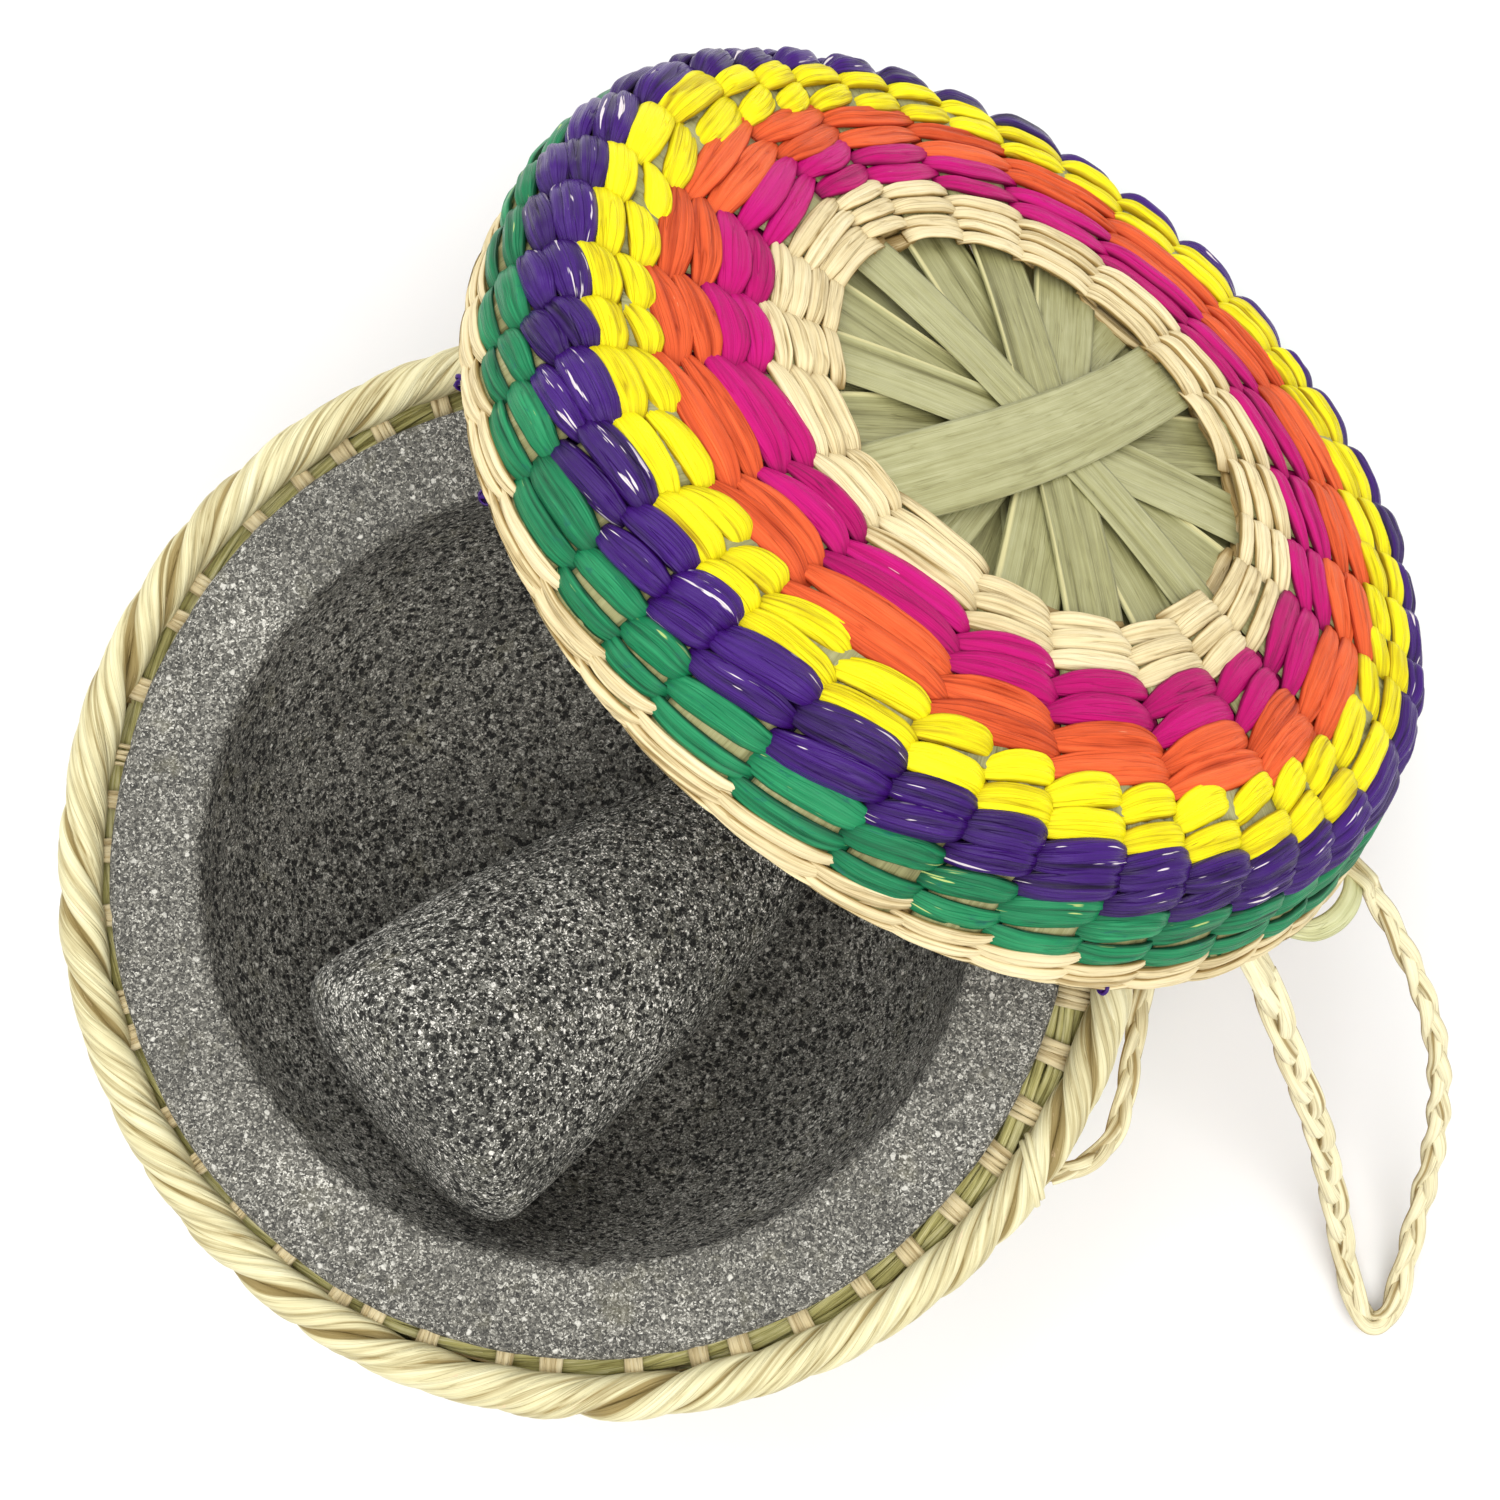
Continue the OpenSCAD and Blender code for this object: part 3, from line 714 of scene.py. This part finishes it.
# The lid's frame: its axis, two directions in the plane of its edge, and the middle of that plane in mm
lid_r = 118.0
n = np.array(joints["lid_lift_off"]["axis"], float)
lean = math.acos(n[2])
turn = math.atan2(n[1], n[0])
lid_x = np.array([math.cos(lean) * math.cos(turn), math.cos(lean) * math.sin(turn), -math.sin(lean)])
lid_y = np.array([-math.sin(turn), math.cos(turn), 0])
lid_mid = np.array(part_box("lid_rim_weft_cream")[0]) * 1000 + lid_r * np.sqrt(1 - n ** 2)
LID_OUTLINE = [(40, 33), (57, 33), (66, 32.6), (78, 31.4), (90, 29.8), (97.5, 28.7), (103.5, 26.6),
               (107.5, 22.5), (110, 16.5), (113.6, 8.25), (116.2, 0), (116.4, -1.0)]
lid = Shell(lid_mid, lid_x, lid_y, n, LID_OUTLINE, table=0.4, bulge=5.0)


def on_lid(angle, r, h):
    return lid_mid + r * math.cos(angle) * lid_x + r * math.sin(angle) * lid_y + h * n


def along_lid(angle):
    return -math.sin(angle) * lid_x + math.cos(angle) * lid_y


inner_edges = gaps(20, 0.16)
outer_edges = halved(inner_edges)
LID_PIECES = {
    "inner": ("lid_cream_stitches", "palm_cream", "lid_inner_weft_cream"),
    **dyed_bands("lid", DYES),
    "rim": ("lid_rim_stitches", "palm_cream", "lid_rim_weft_cream"),
}
lid_pieces = {k: Patch() for k in LID_PIECES}
lid_spokes = Patch()

# The plain stitches on a wall's inner face
INSIDE = dict(rise=1.0, bow=0.4, shape="plump", rings=9, across=7, creases=2, side=-1)
FORK = 50
# Rows as (piece, distance out, half width, tilt, bow, rise, look). From FORK out, a space has two stitches.
LID_ROWS = [
    ("inner", 11.0, 1.9, 0.6, 0.3, 0.9, dict(shape="strap", chance=0.45, creases=2, deep=0.14, base=-0.7,
                                             shingle=0)),
    ("inner", 14.9, 2.3, 1.2, 1.0, 2.0, dict(shape="plump", creases=4)),
    ("inner", 19.4, 2.45, 2.4, 1.2, 2.3, dict(shape="plump", creases=5)),
    ("inner", 24.2, 2.6, 3.8, 1.4, 2.4, dict(shape="blunt", creases=5)),
    ("magenta", 30.6, 3.6, 5.4, 2.6, 2.2, dict(creases=3, deep=0.22)),
    ("magenta", 36.8, 3.9, 6.0, 2.8, 2.5, dict(creases=3, deep=0.22)),
    ("orange", 42.6, 4.0, 5.6, 2.4, 2.4, dict(creases=8, deep=0.45)),
    ("orange", 48.6, 4.2, 5.8, 2.4, 2.6, dict(creases=8, deep=0.45)),
    ("yellow", 53.9, 3.8, 5.4, 1.6, 2.7, dict(shape="blunt", creases=5)),
    ("yellow", 61.0, 3.8, 3.4, 1.0, 2.8, dict(shape="plump", creases=6)),
    ("purple", 67.0, 3.9, 5.0, 1.3, 3.8, dict(shape="plump", creases=6, shingle=-0.2)),
    ("purple", 73.5, 4.0, 6.4, 1.3, 3.7, dict(shape="blunt", creases=7)),
    ("green", 80.2, 4.0, 4.8, 1.5, 2.8, dict(shape="blunt", creases=5)),
    ("green", 86.0, 3.0, 3.0, -0.4, 2.0, dict(shape="plump", creases=5)),
    ("rim", 89.6, 2.3, 3.4, -1.6, 1.7, dict(shape="leaf", creases=6, deep=0.45, over=0.2)),
    ("rim", 92.9, 2.2, 3.2, -1.6, 1.8, dict(shape="blunt", creases=6, deep=0.45, over=0.24)),
    ("rim", 95.4, 1.7, 2.4, -1.2, 1.5, dict(shape="plump", creases=5, deep=0.4, over=0.3)),
]
for piece, s, half, tilt, bow, rise, look in LID_ROWS:
    edges = inner_edges if s < FORK else outer_edges
    row(lid_pieces[piece], lid, edges, s, half, tilt=tilt, bow=bow, rise=rise, **look)
    row(lid_pieces[piece], lid, edges, s, half, tilt=tilt, chance=look.get("chance", 1.0), **INSIDE)

for edges, s0, s1, share in ((inner_edges, 15.0, 56.0, 0.42), (outer_edges, 48.0, 93.5, 0.43)):
    for a0, a1 in spaces(edges):
        middle, half = (a0 + a1) / 2, share * (a1 - a0)
        spoke(lid_spokes, lid, middle, s0, s1, half, rise=0.9)
        spoke(lid_spokes, lid, middle, s0 + 8, s1, half, rise=0.4, side=-1, rings=14, across=5, base=-1.2)

for piece, (name, paint, node) in LID_PIECES.items():
    lid_pieces[piece].object(name, "lid", paint, node)


def star_strip(frame_of, radius, a0, a1, half, level, low, curve=0.0, step=0.42, rib=0, rings=60, across=23,
               drop=0.9):
    """One leaf strip across a star, from one angle on its edge to another, in mm.

    frame_of is the star's middle and its x, y and z. level is how many strips lie under it, low the height of
    the first, and step the height between two. rib is the edge with the leaf's midrib, 1 or -1, or 0 for
    none. drop is how far the strip's ends go down."""
    centre, x, y, z = (np.array(v) for v in frame_of)
    start, end = (radius * np.array([math.cos(a), math.sin(a)]) for a in (a0, a1))
    t = np.linspace(0, 1, rings)
    side = unit(np.array([start[1] - end[1], end[0] - start[0]]))
    line = start + (end - start) * t[:, None] + side * (curve * 4 * t * (1 - t))[:, None]
    d = unit(np.gradient(line, axis=0))
    cross = np.stack([-d[:, 1], d[:, 0]], 1)
    v = np.linspace(-1, 1, across)
    a, b = np.meshgrid(t, v, indexing="ij")
    wide = half * (1 + 0.05 * np.sin(t * 5 + rng.uniform(0, 6)))[:, None]
    far = np.linalg.norm(line, axis=1)
    fall = np.clip((far - 16) / (radius - 16), 0, 1)[:, None]
    height = low + level * step * (1 - 0.75 * fall ** 1.5) - drop * fall ** 3
    ridge = 0.05 * np.sin(b * 23 + rng.uniform(0, 6)) + 0.09 * np.sin(b * 9 + rng.uniform(0, 6))
    cup = rng.uniform(-0.5, 0.35) * (b ** 2 - 0.4) * fall + rng.uniform(-0.45, 0.45) * b * fall
    split = folds(a, b, 4, 0.25)
    stem = np.exp(-(((b - rib * 0.88) / 0.07) ** 2)) * (0.55 + 0.45 * fall) if rib else 0 * b
    top = height + ridge + cup - split + 0.30 + 0.95 * stem
    back = np.array([0.95, 0.5, 0.0, -0.5, -0.95])
    nearest = np.interp(back, v, np.arange(across)).round().astype(int)
    full = with_back(top, (height + ridge + cup - 0.06)[:, nearest], 5)
    full_b = with_back(b, back, 5)
    flat = line[:, None, :] + cross[:, None, :] * (full_b * wide)[..., None]
    points = centre + flat[..., :1] * x + flat[..., 1:] * y + full[..., None] * z
    shift, tone = rng.uniform(0, SHIFT_SPAN), rng.uniform(0, 1)
    run = with_back(a, a[:, :1], 5)
    # Painted shade in its splits and on its underside; near the midrib the value goes below 0, for the rib's
    # straw colour.
    fold_shade_and_rib = with_back(0.7 * split / 0.25 - 1.2 * stem, 0.3, 5)
    return (points, grain_at(run * 2 * radius, full_b * half, tone, shift),
            np.stack([np.abs(full_b), run, fold_shade_and_rib], -1))


# The star's strips from the lowest up: direction and skew in degrees, half width in mm, and rib
STAR = [(8, 3.0, 8.4, -1), (150, 2.0, 8.6, 1), (68, -3.0, 8.4, -1), (108, 4.0, 8.2, 1), (28, -3.0, 7.8, -1),
        (128, 3.0, 7.6, 1), (48, -2.0, 7.2, -1), (88, 1.5, 6.6, 0), (170, -1.0, 9.4, 0)]
LID_FRAME = (lid_mid, lid_x, lid_y, n)
LID_STAR_RADIUS = 60.5
TOP_STRIP_CURVE = -5.5
for k, (direction, skew, half, rib) in enumerate(STAR):
    a0, a1 = math.radians(direction + skew), math.radians(direction + 180 - skew)
    curve = TOP_STRIP_CURVE if k == len(STAR) - 1 else rng.uniform(-2, 2)
    patch = Patch()
    patch.tube(*star_strip(LID_FRAME, LID_STAR_RADIUS, a0, a1, half, k, 29.2, curve, rib=rib))
    patch.object(f"lid_star_leaf_{k + 1}", "lid", "leaf_green", f"lid_star_strip_{k + 1}")

# Shorter leaves under the star, in one piece with the spokes that they split into
for k in range(9):
    a0 = math.radians(20 * k + 18)
    lid_spokes.tube(*star_strip(LID_FRAME, 59, a0, a0 + math.pi, 7.6, 0.8 * k, 26.8, step=0.3, drop=0.2,
                                rings=30, across=11))
lid_spokes.object("lid_leaf_spokes", "lid", "leaf_green", "lid_spokes")

# Leaf ties that hold the strap's two ends to the lid's edge: each of the braid's strands goes on into the lid
ties = Patch()
for degrees, which in ((255, 0), (278, 1)):
    angle = math.radians(degrees)
    along = along_lid(angle)
    ordered = sorted((ends[which] for ends in strap_ends), key=lambda e: float(np.dot(e[0], along)))
    for shift, (end, inner, half) in zip((-2.4, 0, 2.4), ordered):
        t = unit(inner - end)
        tail = route_line([on_lid(angle, lid_r - 10, -1.3) + along * shift,
                           on_lid(angle, lid_r - 3, -2.0) + along * shift,
                           end - 1.5 * t, end + 0.5 * t, end + 2.2 * t])
        u, v = frames_of(tail, along)
        wide = np.linspace(1.1, 1.08, len(tail)) * half
        strand(ties, tail, u, v, wide, 0.78 * half, sides=16, creases=6, deep=0.16)
ties.object("lid_strap_leaf_ties", "lid", "palm_pale", "lid_strap_ties")

# One pale leaf end lying along the edge beside the strap
leaf_end = Patch()
flap = route_line([on_lid(math.radians(d), lid_r + r, h) for d, r, h in
                   ((262, -4, -1.8), (265, 0.5, -1.6), (269, 2.6, -1.0), (273, 2.4, -0.6), (277, 0.5, -1.6))])
u, v = frames_of(flap, -lid_y)
strand(leaf_end, flap, u, v, 2.6, 0.3, sides=12, creases=3, deep=0.1)
leaf_end.object("lid_strap_leaf_end", "lid", "leaf_pale", "lid_strap_ties")

# Knots of purple thread on the lid's edge
knots = Patch()
for degrees in (136, 150, 233):
    angle = math.radians(degrees)
    for _ in range(3):
        axis = unit(along_lid(angle) + rng.normal(0, 0.35, 3))
        a = unit(np.cross(axis, [0.3, 0.2, 1]))
        middle = on_lid(angle, lid_r - 2.4, -1.9) + rng.normal(0, 0.3, 3)
        hoop(knots, middle, a, np.cross(axis, a), 1.25, 1.0, axis, 0.5, thick=0.3, turns=28, across=5)
knots.object("lid_thread_knots", "lid", "dyed_purple", "lid_rim_knots")

# ---------------- basket

rim_lo, rim_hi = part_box("basket_rim_rope")
basket_r = (rim_hi[0] - rim_lo[0]) * 500 - 4.5
rope_z = (rim_hi[2] + rim_lo[2]) * 500
ORIGIN = ((0, 0, 0), (1, 0, 0), (0, 1, 0), (0, 0, 1))
BASKET_OUTLINE = [(92, 1.5), (93.5, 3), (97, 7), (101.5, 20), (104.5, 34), (106.8, 48), (108.1, 62),
                  (108.8, 76), (109, 90), (109, 108)]
WALL_TOP = 107.0
wall = Shell(*ORIGIN, BASKET_OUTLINE, outward=-1)
base = Shell(*ORIGIN, [(50, 2.0), (93, 2.0)], outward=-1)
basket_edges = halved(gaps(20, 0.09))
base_edges = basket_edges[::2]
BASKET_PIECES = {
    "foot": ("basket_foot_stitches", "palm_cream", "basket_foot_weft_cream"),
    **dyed_bands("basket", DYES[::-1]),
    "top": ("basket_top_stitches", "palm_cream", "basket_top_weft_cream"),
    "spokes": ("basket_leaf_spokes", "leaf_green", "basket_spokes"),
    "base": ("basket_base_stitches", "palm_cream", "basket_base_weft"),
    "base_star": ("basket_base_star_leaves", "leaf_green", "basket_base_star"),
}
basket_pieces = {k: Patch() for k in BASKET_PIECES}
basket_spokes = basket_pieces["spokes"]
# Rows of the wall as (piece, distance up, half width)
BASKET_ROWS = [("foot", 3.0, 3.4), ("foot", 9.2, 3.8), ("foot", 16.0, 3.8)]
BASKET_ROWS += [(DYES[4 - k // 2], 23.2 + 7 * k, 4.0) for k in range(10)]
BASKET_ROWS += [("top", 93.0, 3.9), ("top", 99.6, 3.9), ("top", 105.2, 3.0)]
for piece, s, half in BASKET_ROWS:
    row(basket_pieces[piece], wall, basket_edges, s, half, tilt=-4.0, bow=0.8, rise=3.0 if s > 6 else 1.6,
        shape="plump", rings=15, across=11, creases=6, deep=0.3)
    row(basket_pieces[piece], wall, basket_edges, s, half, tilt=-3.0, deep=0.2, base=-1.0, **INSIDE)
for a0, a1 in spaces(basket_edges):
    middle, half = (a0 + a1) / 2, 0.42 * (a1 - a0)
    spoke(basket_spokes, wall, middle, 0.5, WALL_TOP, half, rise=0.9, rings=40)
    spoke(basket_spokes, wall, middle, 0.5, WALL_TOP, half, rise=0.3, rings=20, across=5, side=-1, base=-1.0)
# Rows of the base as (distance in, half width), each with an upper and a lower face
BASE_LOOK = dict(tilt=-2.0, bow=0.4, shape="plump", rings=12, across=9, creases=4, deep=0.2, dive=0.8)
for s, half in ((6.0, 3.4), (12.4, 3.5), (18.8, 3.5), (25.2, 3.5), (31.6, 3.5), (38.0, 3.5)):
    edges = base_edges if s < 22 else basket_edges
    row(basket_pieces["base"], base, edges, s, half, rise=1.4, base=0.2, **BASE_LOOK)
    row(basket_pieces["base"], base, edges, s, half, rise=1.2, base=-3.6, side=-1, **BASE_LOOK)
for a0, a1 in spaces(basket_edges):
    spoke(basket_spokes, base, (a0 + a1) / 2, 0.5, 42.5, 0.40 * (a1 - a0), base=-0.3, rise=0.2, rings=12,
          across=7)
for k, (direction, _, half, _) in enumerate(STAR):
    a0 = math.radians(direction)
    strip = star_strip(ORIGIN, 55, a0, a0 + math.pi, half, 0.9 * k, 1.15, step=0.22, drop=0, rings=30,
                       across=11)
    basket_pieces["base_star"].tube(*strip)
for piece, (name, paint, node) in BASKET_PIECES.items():
    basket_pieces[piece].object(name, "basket", paint, node)


def ring_line(r, z, count):
    """Points on a level ring: their angles, places, outward directions and upward directions."""
    a = np.linspace(0, TURN, count, endpoint=False)
    out = np.stack([np.cos(a), np.sin(a), 0 * a], 1)
    return a, out * r + [0, 0, z], out, np.array([[0, 0, 1.0]]) + 0 * out


def outward_at(angle):
    """The directions outwards and round the rim at an angle."""
    return np.array([math.cos(angle), math.sin(angle), 0]), np.array([-math.sin(angle), math.cos(angle), 0])


# Rope: three strands with a long twist
ROPE_STRANDS = 3
ROPE_TURNS = 15
rope = Patch()
a, line, out, upward = ring_line(basket_r, rope_z, 900)
for k in range(ROPE_STRANDS):
    phase = ROPE_TURNS * a + k * TURN / ROPE_STRANDS + 0.30 * np.sin(3 * a + k) + 0.25 * np.sin(7 * a + 2 * k)
    swell = 1 + 0.06 * np.sin(11 * a + 2 * k) + 0.05 * np.sin(29 * a + k)
    c, w = np.cos(phase)[:, None], np.sin(phase)[:, None]
    radial, round_it = c * out + w * upward, -w * out + c * upward
    # valley puts painted shade on each strand's inner side, where the strands press together.
    strand(rope, line + 2.3 * radial, radial, round_it, 2.45 * swell, 3.25 * swell, sides=32, creases=9,
           deep=0.10, ring=True, ply=1, narrow=0.15, valley_shade=1.2)
rope.object("basket_twisted_rope", "basket", "palm_rope", "basket_rim_rope")

# Green leaf core under and inside the rope. It stands furthest in on the right.
CORE_STRANDS = 11
CORE_IN = 5.0
CORE_DOWN = 4.6
core = Patch()
a, line, out, upward = ring_line(basket_r - CORE_IN, rope_z - CORE_DOWN, 540)
inward = 1.1 * (1 + np.cos(a + 0.4))
line = line - out * inward[:, None]
for k in range(CORE_STRANDS):
    phase = (7 + k % 3) * a + k * TURN / CORE_STRANDS + 0.3 * np.sin(5 * a + k)
    reach = (1.7 if k % 2 else 0.8) + 0.3 * inward + 0.35 * np.sin(9 * a + 3 * k) * np.sin(4 * a + k)
    c, w = (np.cos(phase) * reach)[:, None], (np.sin(phase) * reach * 0.6)[:, None]
    strand(core, line + c * out + w * upward, out, upward, 0.9 + 0.1 * inward, 0.62, sides=8, creases=2,
           ring=True)
core.object("basket_leaf_core", "basket", "leaf_straw", "basket_rim_core")

# Lashings round the core, four strips each
LASHINGS = 50
UP = np.array([0, 0, 1.0])
lashings = Patch()
for k in range(LASHINGS):
    angle = (k + rng.uniform(-0.25, 0.25)) * TURN / LASHINGS
    out, along = outward_at(angle)
    inward = 1.1 * (1 + math.cos(angle + 0.4))
    lean = rng.normal(0.40, 0.35)
    middle = out * (basket_r - 4.7 - 0.9 * inward) + UP * (rope_z - CORE_DOWN)
    for shift in np.array((-1.7, -0.55, 0.6, 1.7)) * rng.uniform(0.7, 1.2):
        tip = unit(along + out * (lean + rng.normal(0, 0.22)))
        rx, ry = 2.8 + 0.45 * inward + rng.uniform(0, 0.3), 2.4 + rng.uniform(0, 0.4)
        hoop(lashings, middle + along * shift, out, UP, rx, ry, tip, 0.86, thick=0.34, turns=30, across=5,
             creases=2)
lashings.object("basket_leaf_lashings", "basket", "palm_cream", "basket_rim_lashings")

# Slanted ties that hold the loop's two ends to the rope
loop_ties = Patch()
for degrees in (-34.5, 15):
    out, along = outward_at(math.radians(degrees))
    for shift in (-0.9, 0.9):
        middle = out * basket_r + UP * rope_z + along * shift
        hoop(loop_ties, middle, unit(out - along), UP, 6.5, 4.5, unit(out + along), 0.75, thick=0.3,
             creases=5)
loop_ties.object("basket_loop_leaf_ties", "basket", "palm_rope", "basket_loop_ties")

# ---------------- stone


def value_noise(p, seed):
    """Smooth random values at points, one new value per unit cell."""
    i = np.floor(p).astype(np.int64)
    f = p - i
    f = f * f * (3 - 2 * f)
    total = 0
    for dx, dy, dz in np.ndindex(2, 2, 2):
        h = (i[..., 0] + dx) * 374761393 + (i[..., 1] + dy) * 668265263 + (i[..., 2] + dz) * 1440662683
        h = (h + seed * 974711) & 0xFFFFFFFF
        h = ((h ^ (h >> 13)) * 1274126177) & 0xFFFFFFFF
        h = ((h ^ (h >> 16)) & 0xFFFF) / 65535.0
        share = 1
        for k, far in enumerate((dx, dy, dz)):
            share = share * (f[..., k] if far else 1 - f[..., k])
        total = total + h * share
    return total


def rough_stone(points, normals, chisel, pit, seed):
    """Moves the points of a carved stone along their normals. chisel and pit are depths in mm."""
    low = value_noise(points / 17, seed) - 0.5
    mid = value_noise(points / 6.5, seed + 1) - 0.5
    small = value_noise(points / 2.3, seed + 2)
    holes = np.clip((small - 0.72) / 0.2, 0, 1) ** 1.5
    return points + normals * (chisel * (low * 1.1 + mid * 0.7) - pit * holes)[..., None]


def stone_mesh(name, body, paint, node, grids):
    """Closed grids of points (rings, sides, 3), each with how roughly it is worked at each point."""
    patch = Patch()
    for points, worked in grids:
        patch.tube(points, np.zeros(points.shape), np.repeat(worked[..., None], 3, -1))
    patch.object(name, body, paint, node)


def turned_grid(profile, rings, sides, blur=0.7):
    """Points and normals of a shape turned round the Z axis, from a profile that starts and ends on it."""
    t, line, d = smooth_line(profile, 0.25, blur)
    at = np.linspace(0.4, t[-1] - 0.4, rings)
    r, z, nr, nz = (np.interp(at, t, q) for q in (line[:, 0], line[:, 1], d[:, 1], -d[:, 0]))
    phi = np.linspace(0, TURN, sides, endpoint=False)
    c, w, one = np.cos(phi), np.sin(phi), np.ones(sides)
    r = np.maximum(r, 0.15)
    points = np.stack([np.outer(r, c), np.outer(r, w), np.outer(z, one)], -1)
    return points, np.stack([np.outer(nr, c), np.outer(nr, w), np.outer(nz, one)], -1)


BOWL_POWER = 2 / 2.8


def bowl_side(radius, depth, top, angles):
    """Part of a bowl's outline, a little squarer than a circle."""
    return [(radius * math.sin(a) ** BOWL_POWER, top - depth * math.cos(a)) for a in np.radians(angles)]


# Mortar: a bowl with a sanded lip, on three stub feet
LIP_RADIUS = 100
MOUTH_RADIUS = 80.5
OUTER_DEPTH = 86
BOWL_DEPTH = 72
FOOT_OUT = 52
stone_lo, stone_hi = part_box("mortar")
stone_mid = np.array([(stone_lo[0] + stone_hi[0]) / 2, (stone_lo[1] + stone_hi[1]) / 2, 0]) * 1000
stone_top = stone_hi[2] * 1000
stone_floor = stone_lo[2] * 1000
lip = [(LIP_RADIUS, 2), (LIP_RADIUS - 0.6, 0.6), (LIP_RADIUS - 2, 0), (MOUTH_RADIUS + 2, 0),
       (MOUTH_RADIUS + 0.6, 0.6), (MOUTH_RADIUS, 2)]
profile = bowl_side(LIP_RADIUS, OUTER_DEPTH, stone_top, range(0, 88, 3))
profile += [(r, stone_top - down) for r, down in lip]
profile += bowl_side(MOUTH_RADIUS, BOWL_DEPTH, stone_top, range(84, -1, -3))
points, normals = turned_grid(profile, 226, 390)
sanded = np.clip((points[..., 2] - stone_top + 3.0) / 2.4, 0, 1)
points = rough_stone(points, normals, 0.5, 0.55, 3)
points[..., 2] = np.where(sanded > 0.9, np.minimum(points[..., 2], stone_top + 0.15), points[..., 2])
grids = [(points + stone_mid, 1 - 0.8 * sanded)]
for degrees in (90, 210, 330):
    out, _ = outward_at(math.radians(degrees))
    foot = [(0, 0), (9, 0), (11.6, 1.0), (12.4, 3), (16, 19), (19.6, 37.5), (0, 38)]
    points, normals = turned_grid(foot, 46, 64, blur=1.2)
    points = rough_stone(points + out * FOOT_OUT + UP * stone_floor, normals, 0.6, 0.4, 9)
    points[..., 2] = np.maximum(points[..., 2], stone_floor)
    grids.append((points + stone_mid, np.ones(points.shape[:2])))
stone_mesh("mortar_carved_stone", "mortar", "mortar_stone", "mortar", grids)

# Pestle: a blunt head, slightly three-sided, that tapers to a rounded grip
HEAD_RADIUS = 33
GRIP_RADIUS = 20.5
PESTLE_LENGTH = 108
GRIP_END = 10  # how much of the length the grip's rounded end takes
head = np.array([-43.5, -51.2, 111.5])
slope = math.radians(26)
forward, side = outward_at(math.radians(39))
axis = forward * math.cos(slope) - UP * math.sin(slope)
over = np.cross(axis, side)


def pestle_side(deep, power):
    """The pestle's outline as (radius, distance from its head), with its head rounded over a depth."""
    quarter = [(math.sin(math.radians(a)), 1 - math.cos(math.radians(a))) for a in range(0, 91)]
    start = PESTLE_LENGTH - GRIP_END
    face = [(HEAD_RADIUS * quarter[a][0] ** power, deep * quarter[a][1]) for a in range(1, 91, 5)]
    taper = [(HEAD_RADIUS - (HEAD_RADIUS - GRIP_RADIUS) * (0.4 * t + 0.6 * t * t), deep + (start - deep) * t)
             for t in np.linspace(0.06, 0.94, 12)]
    grip = [(GRIP_RADIUS * quarter[a][0] ** 0.5, PESTLE_LENGTH - GRIP_END * quarter[a][1])
            for a in range(90, 0, -5)]
    return [(0.01, 0)] + face + taper + grip + [(0.01, PESTLE_LENGTH)]


# The head is rounder where it lies in the bowl, and sharper on the side that faces up
PESTLE_SIDES = 230
points, normals = turned_grid(pestle_side(15, 0.5), 190, PESTLE_SIDES, blur=1.2)
sharp, _ = turned_grid(pestle_side(9, 0.36), 190, PESTLE_SIDES, blur=1.0)
phi = np.linspace(0, TURN, PESTLE_SIDES, endpoint=False)
away = np.abs((phi + 1.5 * np.pi) % TURN - np.pi)
share = np.clip((away - 0.6) / 0.9, 0, 1)[None, :, None]
points = points * (1 - share) + sharp * share
phi = np.arctan2(points[..., 1], points[..., 0])
swell = 1 + 0.022 * np.cos(3 * phi + math.pi) * np.clip(1 - points[..., 2] / 90, 0, 1) - 0.004
points[..., :2] *= swell[..., None]
points = rough_stone(points, normals, 0.7, 0.75, 21)
points = head + points[..., :1] * side + points[..., 1:2] * over + points[..., 2:] * axis
stone_mesh("pestle_carved_stone", "pestle", "pestle_stone", "pestle", [(points, np.ones(points.shape[:2]))])

# ---------------- last update

bpy.context.view_layer.update()
